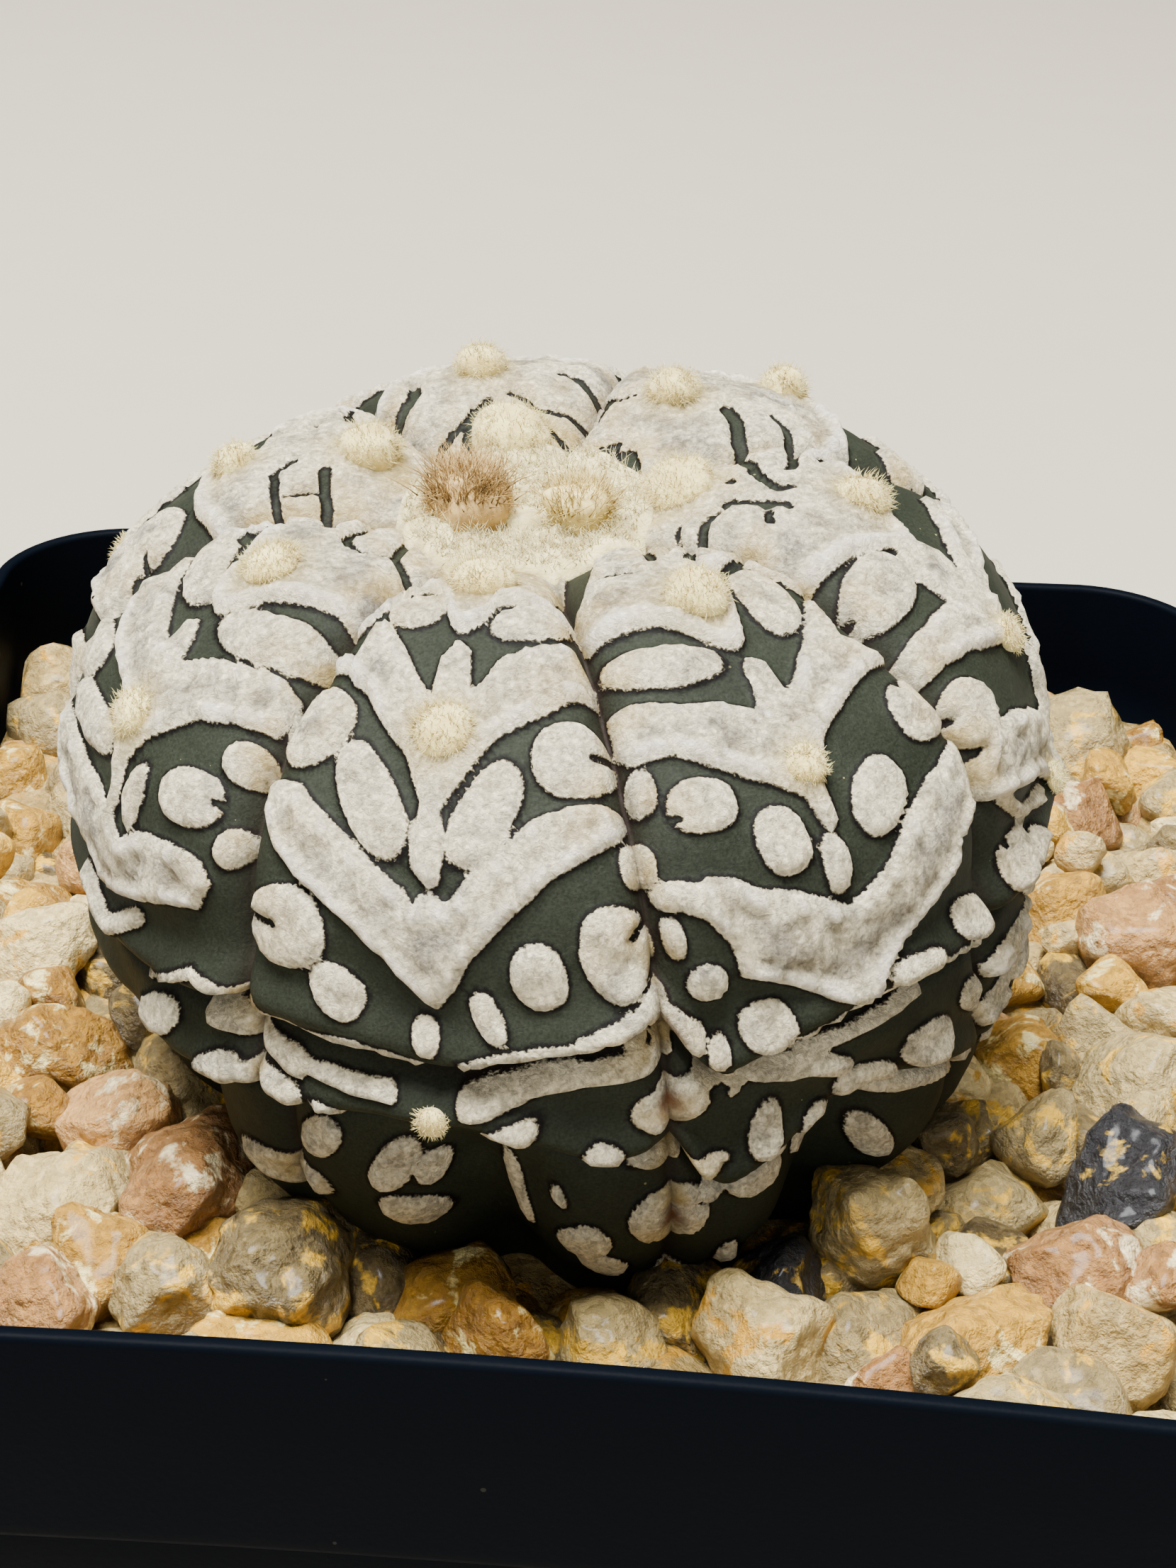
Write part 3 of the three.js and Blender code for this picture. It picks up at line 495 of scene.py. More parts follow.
def pot_rows():
    """The pot's section from the middle of its floor, up the inside, over the lip and down to its base."""
    turns = np.linspace(0, math.pi / 2, ARC_STEPS)
    lip = RIM_LIP / 2
    rows = [wall_row(POT_FLOOR, POT_WALL + 4), wall_row(POT_FLOOR, POT_WALL + 1)]
    rows += [wall_row(POT_FLOOR + 1, POT_WALL)]
    rows += [wall_row(z, POT_WALL) for z in np.linspace(8, BAND_BOTTOM, 8)]
    rows += [band_row(z, POT_WALL) for z in (BAND_BOTTOM + RIM_BAND_STEP, BAND_BOTTOM + 7)]
    rows += [band_row(POT_HEIGHT - lip + lip * math.sin(a), POT_WALL - lip + lip * math.cos(a))
             for a in turns]
    rows += [band_row(POT_HEIGHT - lip + lip * math.cos(a), lip - lip * math.sin(a)) for a in turns]
    rows += [band_row(BAND_BOTTOM + 7, 0), band_row(BAND_BOTTOM + RIM_BAND_TAPER + 0.6, 0)]
    rows += [band_row(BAND_BOTTOM + RIM_BAND_TAPER * (1 - math.sin(a)), RIM_BAND_TAPER * (1 - math.cos(a)))
             for a in turns]
    rows += [wall_row(BAND_BOTTOM, 0.15), wall_row(BAND_BOTTOM - 0.4, 0)]
    rows += [wall_row(z, 0) for z in np.linspace(BAND_BOTTOM - 6, 6, 8)]
    rows += [wall_row(BASE_EDGE_RADIUS * (1 - math.sin(a)), BASE_EDGE_RADIUS * (1 - math.cos(a)))
             for a in turns]
    rows += [wall_row(0, BASE_EDGE_RADIUS + 4)]
    return rows


def black_polypropylene(colour, dust):
    """Injection-moulded polypropylene: near black with a cold tint, a soft sheen, flow marks and dust."""
    material, tree, shader, place = new_material(
        "Black polypropylene", **{"IOR": 1.49, "Specular IOR Level": 0.02})
    cloud = add_node(tree, "TexNoise", {"Vector": place, "Scale": 1 / 0.009, "Detail": 4.0})
    tone = add_node(tree, "Mix", {
        "Factor": cloud.outputs["Fac"], "A": linear(colour), "B": linear("#04070c")}, data_type="RGBA")
    specks = scattered_specks(tree, place, 0.0026, dust, 0.09)
    colour_out = add_node(tree, "Mix", {
        "Factor": specks, "A": tone.outputs["Result"], "B": linear("#22221f")}, data_type="RGBA")
    rough = add_node(tree, "MapRange", {
        "Value": cloud.outputs["Fac"], "To Min": 0.42, "To Max": 0.62})
    grain = add_node(tree, "TexNoise", {"Vector": place, "Scale": 1 / 0.0004, "Detail": 3.0})
    bump = add_node(tree, "Bump", {"Height": grain.outputs["Fac"], "Strength": 0.12, "Distance": 0.0002})
    tree.links.new(colour_out.outputs["Result"], shader.inputs["Base Color"])
    tree.links.new(rough.outputs[0], shader.inputs["Roughness"])
    tree.links.new(bump.outputs[0], shader.inputs["Normal"])
    return material


def mineral_potting_mix():
    """Loose mineral soil: dark peat brown with pale pumice grains of about 1.5 mm, fully matt."""
    material, tree, shader, place = new_material("Mineral potting mix", **{"Roughness": 0.95})
    grains = add_node(tree, "TexVoronoi", {"Vector": place, "Scale": 1 / 0.0015})
    chance = add_node(tree, "SeparateColor", {"Color": grains.outputs["Color"]})
    ramp = add_node(tree, "ValToRGB", {"Fac": chance.outputs[0]})
    ramp.color_ramp.elements[0].color = linear("#2b211a")
    ramp.color_ramp.elements[1].color = linear("#8d8271")
    ramp.color_ramp.elements[1].position = 0.97
    middle = ramp.color_ramp.elements.new(0.72)
    middle.color = linear("#43352a")
    bump = add_node(tree, "Bump", {
        "Height": grains.outputs["Distance"], "Strength": 0.8, "Distance": 0.0006}, invert=True)
    tree.links.new(ramp.outputs[0], shader.inputs["Base Color"])
    tree.links.new(bump.outputs[0], shader.inputs["Normal"])
    return material


# The plant's outline with its depth along the skin
def smooth_line(points, samples=1500):
    """Points along a smooth curve through the given ones."""
    p = np.asarray(points, float)
    last = len(p) - 1
    t = np.linspace(0, last, samples)
    i = np.minimum(t.astype(int), last - 1)
    f = (t - i)[:, None]
    before, start, end, after = p[np.maximum(i - 1, 0)], p[i], p[i + 1], p[np.minimum(i + 2, last)]
    v0, v1 = (end - before) / 2, (after - start) / 2
    cubic, square = 2 * start - 2 * end + v0 + v1, 3 * end - 3 * start - 2 * v0 - v1
    return cubic * f ** 3 + square * f ** 2 + v0 * f + start


OUTLINE = smooth_line(CREST_OUTLINE)
OUTLINE_DEPTH = np.r_[0, np.cumsum(np.hypot(*np.diff(OUTLINE, axis=0).T))]
OUTLINE_WAY = np.gradient(OUTLINE, OUTLINE_DEPTH, axis=0)
SKIN_LENGTH = OUTLINE_DEPTH[-1]
PLANT_TURN = np.array(Matrix.Rotation(math.radians(-LEAN_LEFT), 3, "Y")
                      @ Matrix.Rotation(math.radians(LEAN_FORWARD), 3, "X"))


def outline_at(depth):
    """Radius, height and direction of the outline at depths below the crown."""
    table = [OUTLINE[:, 0], OUTLINE[:, 1], OUTLINE_WAY[:, 0], OUTLINE_WAY[:, 1]]
    return [np.interp(depth, OUTLINE_DEPTH, column) for column in table]


def rib_place(azimuth):
    """For azimuths: -1 to 1 from groove to groove, and the rib's half width there in degrees."""
    middles = np.array(RIB_AZIMUTHS)
    off = (azimuth[:, None] - middles + 180) % 360 - 180
    rib = np.abs(off).argmin(axis=1)
    off = off[np.arange(len(rib)), rib]
    before = (middles - np.roll(middles, 1)) % 360 / 2
    after = (np.roll(middles, -1) - middles) % 360 / 2
    half = np.where(off < 0, before[rib], after[rib])
    return np.clip(off / half, -1, 1), half


def round_plant(line, azimuth, ease=4):
    """A depth listed by azimuth, read all the way round with its corners eased."""
    knots = np.array(line)
    fine = np.arange(-180, 180, 0.5)
    order = np.argsort((knots[:, 0] + 180) % 360)
    spread = np.interp(fine, (knots[order, 0] + 180) % 360 - 180, knots[order, 1], period=360)
    eased = sum(np.roll(spread, k) for k in range(-ease, ease + 1)) / (2 * ease + 1)
    return np.interp((azimuth + 180) % 360 - 180, fine, eased, period=360)


def to_mm(azimuth, depth, at_azimuth, at_depth):
    """Across and down distances in mm from a place on the skin."""
    radius = np.interp(at_depth, OUTLINE_DEPTH, OUTLINE[:, 0])
    across = ((azimuth - at_azimuth + 180) % 360 - 180) * math.pi / 180 * radius
    return across, depth - at_depth


def inside_outline(x, y, corners):
    """Distance inside a closed outline, negative outside, and how far its nearest edge faces down."""
    near = np.full(len(x), 1e9)
    facing = np.zeros(len(x))
    crossings = np.zeros(len(x), bool)
    for (ax, ay), (bx, by) in zip(corners, np.roll(corners, -1, axis=0)):
        ex, ey = bx - ax, by - ay
        t = np.clip(((x - ax) * ex + (y - ay) * ey) / (ex * ex + ey * ey), 0, 1)
        away = np.hypot(x - ax - t * ex, y - ay - t * ey)
        facing = np.where(away < near, ex / -math.hypot(ex, ey), facing)
        near = np.minimum(near, away)
        crosses = (ay > y) != (by > y)
        crossings ^= crosses & (x < ax + (y - ay) * ex / (ey if ey else 1e-9))
    return np.where(crossings, near, -near), facing


def inside_bar(x, y, corners, half):
    """Distance inside a bent bar that follows the corners."""
    near = np.full(len(x), 1e9)
    for (ax, ay), (bx, by) in zip(corners[:-1], corners[1:]):
        ex, ey = bx - ax, by - ay
        t = np.clip(((x - ax) * ex + (y - ay) * ey) / (ex * ex + ey * ey + 1e-9), 0, 1)
        near = np.minimum(near, np.hypot(x - ax - t * ex, y - ay - t * ey))
    return half - near


def inside_spot(x, y, spot):
    """Distance inside a leaning oval, with its notch cut out."""
    lean = math.radians(spot.lean)
    across = x * math.cos(lean) + y * math.sin(lean)
    along = -x * math.sin(lean) + y * math.cos(lean)
    a, b = spot.wide / 2, spot.high / 2
    share = (np.abs(across / a) ** 2.3 + np.abs(along / b) ** 2.3) ** (1 / 2.3)
    inside = (1 - share) * min(a, b)
    if spot.cut:
        way, reach = math.radians(spot.cut[0]), 1.2 - spot.cut[1]
        tip = np.array([math.cos(way) * a, -math.sin(way) * b])
        inside = np.minimum(inside, -inside_bar(x, y, [tip * 1.6, tip * reach], 0.22))
    return inside


def rib_halves(rib):
    """A rib's half widths in degrees, to the left and to the right of its middle."""
    middle = RIB_AZIMUTHS[rib]
    after = RIB_AZIMUTHS[(rib + 1) % len(RIB_AZIMUTHS)]
    return (middle - RIB_AZIMUTHS[rib - 1]) % 360 / 2, (after - middle) % 360 / 2


def usual_flecks():
    """Chevron outlines and spots for the ribs out of the photo's view, the usual set with small changes."""
    rng = np.random.default_rng(11)
    chevrons, spots = [], []
    for rib, depths in USUAL_DEPTHS.items():
        middle = RIB_AZIMUTHS[rib]
        before, after = rib_halves(rib)
        for depth in depths:
            tall = 1 if depth < 38 else 0.55
            right, left = [
                [(middle + s * half, depth + d * tall + rng.uniform(-0.3, 0.3)) for s, d in line]
                for half, line in ((after, USUAL_CHEVRON), (-before, USUAL_CHEVRON[1:-1]))]
            chevrons.append(right + left[::-1])
            for usual, side in product(USUAL_SPOTS, (-1, 1)):
                half = after if side > 0 else before
                grow = rng.uniform(0.8, 1.15)
                cut = (rng.uniform(0, 360), rng.uniform(0.3, 0.8)) if rng.random() < 0.35 else None
                spots.append(Spot(
                    middle + side * usual.azimuth * half + rng.uniform(-1.5, 1.5),
                    depth + usual.depth * tall + rng.uniform(-0.5, 0.5), usual.wide * grow,
                    usual.high * grow * tall, side * usual.lean + rng.uniform(-9, 9), cut))
    return chevrons, spots


usual_chevrons, usual_spots = usual_flecks()
ALL_CHEVRONS = CHEVRONS + usual_chevrons
ALL_SPOTS = SPOTS + usual_spots


def line_to_mm(line, at_azimuth, at_depth):
    return np.array([to_mm(a, d, at_azimuth, at_depth) for a, d in line])


def flecks_at(azimuth, depth):
    """How far inside a fleck each place lies, in mm, and how far on a chevron's rolled edge, 0 to 1."""
    place = np.c_[azimuth * 0.45, depth, np.zeros(len(depth))]
    warp_x = 0.16 * value_noise(place, 1.1, 21) + 0.2 * value_noise(place, 5, 22)
    warp_y = 0.16 * value_noise(place, 1.1, 23) + 0.2 * value_noise(place, 5, 24)
    fleck = 0.8 * (round_plant(CROWN_EDGE, azimuth, 1) - depth)
    roll = (bell(fleck - ROLL_AT, 0.4) - 0.6 * bell(fleck - ROLL_AT - 0.8, 0.3)) * (fleck > -0.3)
    for line in ALL_CHEVRONS:
        middle = np.mean(line, axis=0)
        x, y = to_mm(azimuth, depth, *middle)
        near = np.flatnonzero((np.abs(x) < 15) & (np.abs(y) < 11))
        inside, facing = inside_outline(x[near] + warp_x[near] * 0.6, y[near] + warp_y[near] * 0.6,
                                        line_to_mm(line, *middle))
        rolled = (bell(inside - ROLL_AT, 0.36) - 0.9 * bell(inside - ROLL_AT - 0.75, 0.3))
        rolled *= soft_step(np.abs(facing), (0.3, 0.8)) * (inside > -0.3)
        lower = line_to_mm(line, *middle)
        floor = np.interp(x[near], *lower[np.argsort(lower[:, 0])].T)
        roll[near] += rolled * (y[near] > floor)
        fleck[near] = np.maximum(fleck[near], inside)
    for spot in ALL_SPOTS:
        x, y = to_mm(azimuth, depth, spot.azimuth, spot.depth)
        near = np.flatnonzero((np.abs(x) < 6) & (np.abs(y) < 6))
        inside = inside_spot(x[near] + warp_x[near] * 0.5, y[near] + warp_y[near] * 0.5, spot)
        fleck[near] = np.maximum(fleck[near], inside)
    for line, half in LIPS:
        middle = line[len(line) // 2]
        x, y = to_mm(azimuth, depth, *middle)
        near = np.flatnonzero((np.abs(x) < 16) & (np.abs(y) < 6))
        inside = inside_bar(x[near] + warp_x[near] * 0.4, y[near] + warp_y[near] * 0.6,
                            line_to_mm(line, *middle), half)
        fleck[near] = np.maximum(fleck[near], inside)
    map_x = depth * np.sin(np.radians(azimuth)) + warp_x * 0.5
    map_y = -depth * np.cos(np.radians(azimuth)) + warp_y * 0.5
    for line, half in CRACKS:
        fleck = np.minimum(fleck, -inside_bar(map_x, map_y, line, half + CRACK_SPREAD))
    return fleck, roll


def relief_at(azimuth, depth):
    """Everything that the skin's shape and colour need at each place: heights in mm and point values."""
    radius = outline_at(depth)[0]
    across, half = rib_place(azimuth)
    side = np.abs(across)
    to_groove = (1 - side) * np.radians(half) * radius
    upper = soft_step(depth, GROOVE_FADE_IN) * (1 - soft_step(depth, GROOVE_FADE_OUT))
    lower = 1 - 0.45 * soft_step(depth, GROOVE_FADE_OUT)
    in_groove = soft_step(depth, GROOVE_FADE_IN) * lower
    height = -in_groove * GROOVE_DEPTH * np.exp(-to_groove / GROOVE_WIDTH) - upper * RIB_ROUNDING * side ** 2
    height -= DENT_DEPTH * soft_step(depth, DENT_FADE_IN) * bell(across, DENT_SHARE)
    # Crease: how near a groove's bottom or a fold's crease each place lies; the material paints shade there
    # with it
    crease = np.exp(-to_groove / 0.4) * 0.8
    for deep, line in (UPPER_FOLD, LOWER_FOLD):
        below = depth - round_plant(line, azimuth)
        height += FOLD_LIP_HEIGHT * bell(below + FOLD_LIP_ABOVE, FOLD_LIP_WIDTH)
        height -= deep * bell(below, FOLD_CREASE_WIDTH)
        crease = np.maximum(crease, bell(below, 0.45))
    second, third = round_plant(UPPER_FOLD[1], azimuth), round_plant(LOWER_FOLD[1], azimuth)
    tiers = (second, third, SECOND_TIER_BULGE), (third, FLECK_FADE_OUT[1], THIRD_TIER_BULGE)
    for top, bottom, bulge in tiers:
        height += bulge * np.sin(math.pi * np.clip((depth - top) / (bottom - top), 0, 1))
    fleck, roll = flecks_at(azimuth, depth)
    bare = 1 - soft_step(depth, FLECK_FADE_OUT)
    height += bare * (FLECK_HEIGHT * soft_step(fleck, FLECK_EDGE) + ROLL_HEIGHT * roll)
    areole = np.zeros(len(depth))
    for a in sum(AREOLES, []):
        x, y = to_mm(azimuth, depth, a.azimuth, a.depth)
        areole = np.maximum(areole, bell(np.hypot(x, y), a.radius * 1.25))
        height += 0.4 * a.proud * bell(np.hypot(x, y), a.radius * 0.9)
    scar = np.zeros(len(depth))
    for a, d in SCARS:
        x, y = to_mm(azimuth, depth, a, d)
        scar = np.maximum(scar, bell(np.hypot(x * 0.8, y), 0.6))
    place = np.c_[np.sin(np.radians(azimuth)) * radius, np.cos(np.radians(azimuth)) * radius, depth]
    height += 0.13 * value_noise(place, 3.5, 31) + 0.05 * value_noise(place, 1.2, 32)
    on_fleck = soft_step(fleck, (0.1, 0.5))
    height += on_fleck * (0.16 * value_noise(place, 1.5, 33) + 0.13 * value_noise(place, 0.75, 34))
    return {
        "height": height * soft_step(depth, CROWN_CALM),
        "fleck": fleck * bare - (1 - bare), "roll": roll, "crease": crease, "areole": areole,
        "depth": depth, "groove": np.exp(-to_groove / 2.2), "scar": scar,
    }


def bend(points):
    """Places in the plant's own frame, moved as its middle line bends, then set in the pot."""
    k = (points[:, 2:] / BEND_HEIGHT) ** 2
    return (points + k * np.array([-BEND_LEFT, BEND_BACK, 0])) @ PLANT_TURN.T + np.array(PLANT_AT)


def skin_points(azimuth, depth, lift=0.0):
    """Places on the skin in the pot's frame, and the point values there."""
    radius, z, way_r, way_z = outline_at(depth)
    values = relief_at(azimuth, depth)
    out = values["height"] + lift
    r = radius - way_z * out
    a = np.radians(azimuth)
    return bend(np.c_[r * np.sin(a), -r * np.cos(a), z + way_r * out]), values


def skin_frame(azimuth, depth, lift=0.0):
    """A place on the skin, with the directions across it, down it and out of it."""
    step = 0.6
    places, _ = skin_points(np.array([azimuth, azimuth + 2, azimuth - 2, azimuth, azimuth], float),
                            np.array([depth, depth, depth, depth + step, max(depth - step, 0.01)]), lift)
    across = places[1] - places[2]
    down = places[3] - places[4]
    across /= np.linalg.norm(across)
    out = np.cross(down, across)
    out /= np.linalg.norm(out)
    return places[0], across, np.cross(across, out), out


def fibres(roots, ways, lengths, radius, curl, rng, rings=4):
    """Tapered, curved hairs: points, faces and the share of its length at each point."""
    count = len(roots)
    side = unit(np.cross(ways, rng.normal(size=(count, 3))))
    other = np.cross(ways, side)
    bow = side * (curl * lengths * rng.uniform(0.2, 1, count))[:, None]
    turns = np.arange(3) * 2 * math.pi / 3
    points, shares = [], []
    for ring in range(rings):
        s = ring / rings
        middle = roots + ways * (lengths * s)[:, None] + bow * s * s
        wide = radius * (1 - s) ** 0.6
        for turn in turns:
            points.append(middle + wide * (side * math.cos(turn) + other * math.sin(turn)))
            shares.append(np.full(count, s))
    points.append(roots + ways * lengths[:, None] + bow)
    shares.append(np.ones(count))
    per = 3 * rings + 1
    grid = np.stack(points, axis=1).reshape(-1, 3)
    one = []
    for ring in range(rings - 1):
        one += [(ring * 3 + i, ring * 3 + (i + 1) % 3, ring * 3 + 3 + (i + 1) % 3, ring * 3 + 3 + i)
                for i in range(3)]
    one += [(per - 4 + i, per - 4 + (i + 1) % 3, per - 1) for i in range(3)]
    one += [(2, 1, 0)]
    faces = [tuple(first + v for v in face) for first in range(0, count * per, per) for face in one]
    return grid, faces, np.stack(shares, axis=1).ravel()


def sphere(level):
    """Points and faces of a unit sphere of near-equal triangles."""
    mesh = bpy.data.meshes.new("sphere")
    shape = bmesh.new()
    bmesh.ops.create_icosphere(shape, subdivisions=level, radius=1)
    shape.to_mesh(mesh)
    shape.free()
    points = np.array([v.co for v in mesh.vertices])
    faces = [tuple(p.vertices) for p in mesh.polygons]
    bpy.data.meshes.remove(mesh)
    return points, faces


def wool_lumps(azimuth, depth):
    """The soft lumps of the crown's wool in mm, and the flat places that they are read at."""
    radius = outline_at(depth)[0]
    spread = np.c_[radius * np.sin(np.radians(azimuth)), radius * np.cos(np.radians(azimuth)), depth * 0]
    return 0.85 * value_noise(spread, 2.5, 62) + 0.35 * value_noise(spread, 1.0, 63), spread


def join(parts):
    """One set of points, faces and values from several."""
    points, faces, values = [], [], {}
    first = 0
    for part_points, part_faces, part_values in parts:
        points.append(part_points)
        faces += [tuple(first + v for v in face) for face in part_faces]
        first += len(part_points)
        for key, data in part_values.items():
            values.setdefault(key, []).append(data)
    return np.concatenate(points), faces, {key: np.concatenate(data) for key, data in values.items()}


def felted_epidermis(skin, wool):
    """Cactus epidermis under felted wool flecks. The skin is dark green, finely grained and nearly matt; the
    flecks are warm white felt, mottled grey, with tan stains. Painted highlight lies on their rolled edges,
    painted shade on a line above these, and painted shadow on the skin round each fleck."""
    material, tree, shader, place = new_material(
        "Felted cactus epidermis", **{"IOR": 1.42, "Specular IOR Level": 0.1})
    value = {key: add_node(tree, "Attribute", attribute_name=key).outputs["Fac"]
             for key in ("fleck", "roll", "crease", "areole", "groove", "depth", "scar")}

    ragged = add_node(tree, "TexNoise", {"Vector": place, "Scale": 1 / 0.00022})
    ragged = add_node(tree, "MapRange", {"Value": ragged.outputs["Fac"], "To Min": -0.11, "To Max": 0.11})
    edge = add_node(tree, "Math", {0: value["fleck"], 1: ragged.outputs[0]}).outputs[0]
    mask = add_node(tree, "MapRange", {"Value": edge, "From Min": -0.04, "From Max": 0.05},
                    interpolation_type="SMOOTHSTEP").outputs[0]

    # Skin: two greens in soft clouds, fine grain of 0.15 mm, tan specks, and painted shadow: near black next
    # to each fleck and inside the crown's cracks
    cloud = add_node(tree, "TexNoise", {"Vector": place, "Scale": 1 / 0.004, "Detail": 5.0})
    green = add_node(tree, "Mix", {
        "Factor": cloud.outputs["Fac"], "A": linear(skin), "B": linear("#262a20")}, data_type="RGBA")
    grain = add_node(tree, "TexNoise", {"Vector": place, "Scale": 1 / 0.00015})
    grain = add_node(tree, "MapRange", {
        "Value": grain.outputs["Fac"], "From Min": 0.3, "From Max": 0.7, "To Min": 0.7, "To Max": 1.3})
    green = add_node(tree, "VectorMath", {
        0: green.outputs["Result"], "Scale": grain.outputs[0]}, operation="SCALE").outputs["Vector"]
    # Painted shadow: the skin turns near black in the 0.2 mm beside each fleck's edge
    outline = add_node(tree, "MapRange", {
        "Value": edge, "From Min": -0.27, "From Max": -0.05, "To Max": 0.95},
        interpolation_type="SMOOTHSTEP")
    dots = scattered_specks(tree, place, 0.0009, 0.18, 0.1)
    for share, colour in ((dots, "#6d6a48"), (outline.outputs[0], "#080505")):
        green = add_node(tree, "Mix", {
            "Factor": share, "A": green, "B": linear(colour)}, data_type="RGBA").outputs["Result"]

    # Wool: warm white with grey clouds of 2 mm and grain of 0.3 mm, greyer in the middle of broad flecks
    broad = add_node(tree, "MapRange", {
        "Value": value["fleck"], "From Min": 0.7, "From Max": 2.2, "To Max": 0.16},
        interpolation_type="SMOOTHSTEP")
    cloud = add_node(tree, "TexNoise", {
        "Vector": place, "Scale": 1 / 0.0018, "Detail": 7.0, "Roughness": 0.66})
    cloud = add_node(tree, "Math", {0: cloud.outputs["Fac"], 1: broad.outputs[0]})
    grey = add_node(tree, "MapRange", {
        "Value": cloud.outputs[0], "From Min": 0.47, "From Max": 0.72, "To Max": 0.8})
    felt = add_node(tree, "Mix", {
        "Factor": grey.outputs[0], "A": linear(wool), "B": linear("#857f76")}, data_type="RGBA")
    fleece = add_node(tree, "TexNoise", {
        "Vector": place, "Scale": 1 / 0.00034, "Detail": 4.0, "Roughness": 0.65, "Distortion": 0.6})
    fleece = add_node(tree, "MapRange", {
        "Value": fleece.outputs["Fac"], "From Min": 0.36, "From Max": 0.6, "To Min": 0.56, "To Max": 1.1})
    felt = add_node(tree, "VectorMath", {
        0: felt.outputs["Result"], "Scale": fleece.outputs[0]}, operation="SCALE").outputs["Vector"]
    # Painted highlight on the rolled lower edges of the chevrons and of the crown's white, and painted shade
    # on a line just above them
    painted_rim_highlight = add_node(tree, "MapRange", {"Value": value["roll"], "To Max": 0.8})
    sunken = add_node(tree, "MapRange", {"Value": value["roll"], "From Max": -1.0, "To Max": 0.55})
    patches = add_node(tree, "TexNoise", {"Vector": place, "Scale": 1 / 0.003, "Detail": 3.0})
    patches = add_node(tree, "MapRange", {
        "Value": patches.outputs["Fac"], "From Min": 0.42, "From Max": 0.62, "To Max": 0.8})
    by_crown = add_node(tree, "MapRange", {
        "Value": value["depth"], "From Min": 15.0, "From Max": 7.0, "To Min": 0.12, "To Max": 0.9})
    stained = add_node(tree, "Math", {0: by_crown.outputs[0], 1: value["groove"]}, operation="MAXIMUM")
    stained = add_node(tree, "Math", {0: stained.outputs[0], 1: patches.outputs[0]},
                       operation="MULTIPLY")
    by_areole = add_node(tree, "Math", {0: value["areole"], 1: 0.85}, operation="MULTIPLY")
    dirt = scattered_specks(tree, place, 0.0031, 0.1, 0.05)
    layers = (
        (painted_rim_highlight.outputs[0], "#fbf3e0"), (sunken.outputs[0], "#6f675b"), (stained.outputs[0], "#cdae62"),
        (by_areole.outputs[0], "#dcc47a"), (dirt, "#2a2119"))
    for share, colour in layers:
        felt = add_node(tree, "Mix", {
            "Factor": share, "A": felt, "B": linear(colour)}, data_type="RGBA").outputs["Result"]

    surface = add_node(tree, "Mix", {"Factor": mask, "A": green, "B": felt},
                       data_type="RGBA").outputs["Result"]
    # Painted shade: the crease value darkens grooves and fold creases to a dark brown, which also stands for
    # the corky skin there; scars get a brown of their own
    for key, amount, colour in (("crease", 0.85, "#241a15"), ("scar", 0.9, "#6d4021")):
        share = add_node(tree, "Math", {0: value[key], 1: amount}, operation="MULTIPLY")
        surface = add_node(tree, "Mix", {
            "Factor": share.outputs[0], "A": surface, "B": linear(colour)},
            data_type="RGBA").outputs["Result"]
    rough = add_node(tree, "MapRange", {"Value": mask, "To Min": 0.55, "To Max": 0.95})

    # Relief: matted, flaking fibres on the wool, and far finer pores on the skin
    matted = add_node(tree, "TexNoise", {
        "Vector": place, "Scale": 1 / 0.0005, "Detail": 7.0, "Roughness": 0.72, "Distortion": 0.8})
    amount = add_node(tree, "Math", {0: mask, 1: 0.12})
    matted = add_node(tree, "Math", {0: matted.outputs["Fac"], 1: amount.outputs[0]},
                      operation="MULTIPLY")
    bump = add_node(tree, "Bump", {"Height": matted.outputs[0], "Strength": 1.0, "Distance": 0.0006})
    tree.links.new(surface, shader.inputs["Base Color"])
    tree.links.new(rough.outputs[0], shader.inputs["Roughness"])
    tree.links.new(bump.outputs[0], shader.inputs["Normal"])
    return material


def matted_wool(name, pale, deep):
    """Matted plant wool: soft curled hairs that scatter light, pale at the tips and deeper inside."""
    material, tree, shader, place = new_material(
        name, **{"Roughness": 0.95, "Specular IOR Level": 0.15, "Sheen Weight": 0.35,
                 "Sheen Roughness": 0.5})
    share = add_node(tree, "Attribute", attribute_name="share").outputs["Fac"]
    cloud = add_node(tree, "TexNoise", {"Vector": place, "Scale": 1 / 0.0012, "Detail": 5.0})
    mix = add_node(tree, "Math", {0: share, 1: cloud.outputs["Fac"]}, operation="MULTIPLY")
    lift = add_node(tree, "MapRange", {
        "Value": mix.outputs[0], "From Min": 0.1, "From Max": 0.52}).outputs[0]
    colour = add_node(tree, "Mix", {"Factor": lift, "A": linear(deep), "B": linear(pale)},
                      data_type="RGBA").outputs["Result"]
    fibre = add_node(tree, "TexNoise", {"Vector": place, "Scale": 1 / 0.0003, "Detail": 5.0,
                                                  "Roughness": 0.7})
    bump = add_node(tree, "Bump", {"Height": fibre.outputs["Fac"], "Strength": 0.9, "Distance": 0.0002})
    tree.links.new(colour, shader.inputs["Base Color"])
    tree.links.new(bump.outputs[0], shader.inputs["Normal"])
    return material


def dry_petal_fibre(name, pale, deep):
    """Withered petals frayed to bristles: papery, reddish brown at the root and straw at the tips."""
    material, tree, shader, place = new_material(name, **{"Roughness": 0.75, "Specular IOR Level": 0.3})
    share = add_node(tree, "Attribute", attribute_name="share").outputs["Fac"]
    streak = add_node(tree, "TexNoise", {"Vector": place, "Scale": 1 / 0.0007, "Detail": 3.0})
    fac = add_node(tree, "Math", {0: share, 1: streak.outputs["Fac"]}, operation="MULTIPLY").outputs[0]
    lift = add_node(tree, "MapRange", {"Value": fac, "From Min": 0.05, "From Max": 0.5}).outputs[0]
    colour = add_node(tree, "Mix", {"Factor": lift, "A": linear(deep), "B": linear(pale)},
                      data_type="RGBA").outputs["Result"]
    tree.links.new(colour, shader.inputs["Base Color"])
    return material


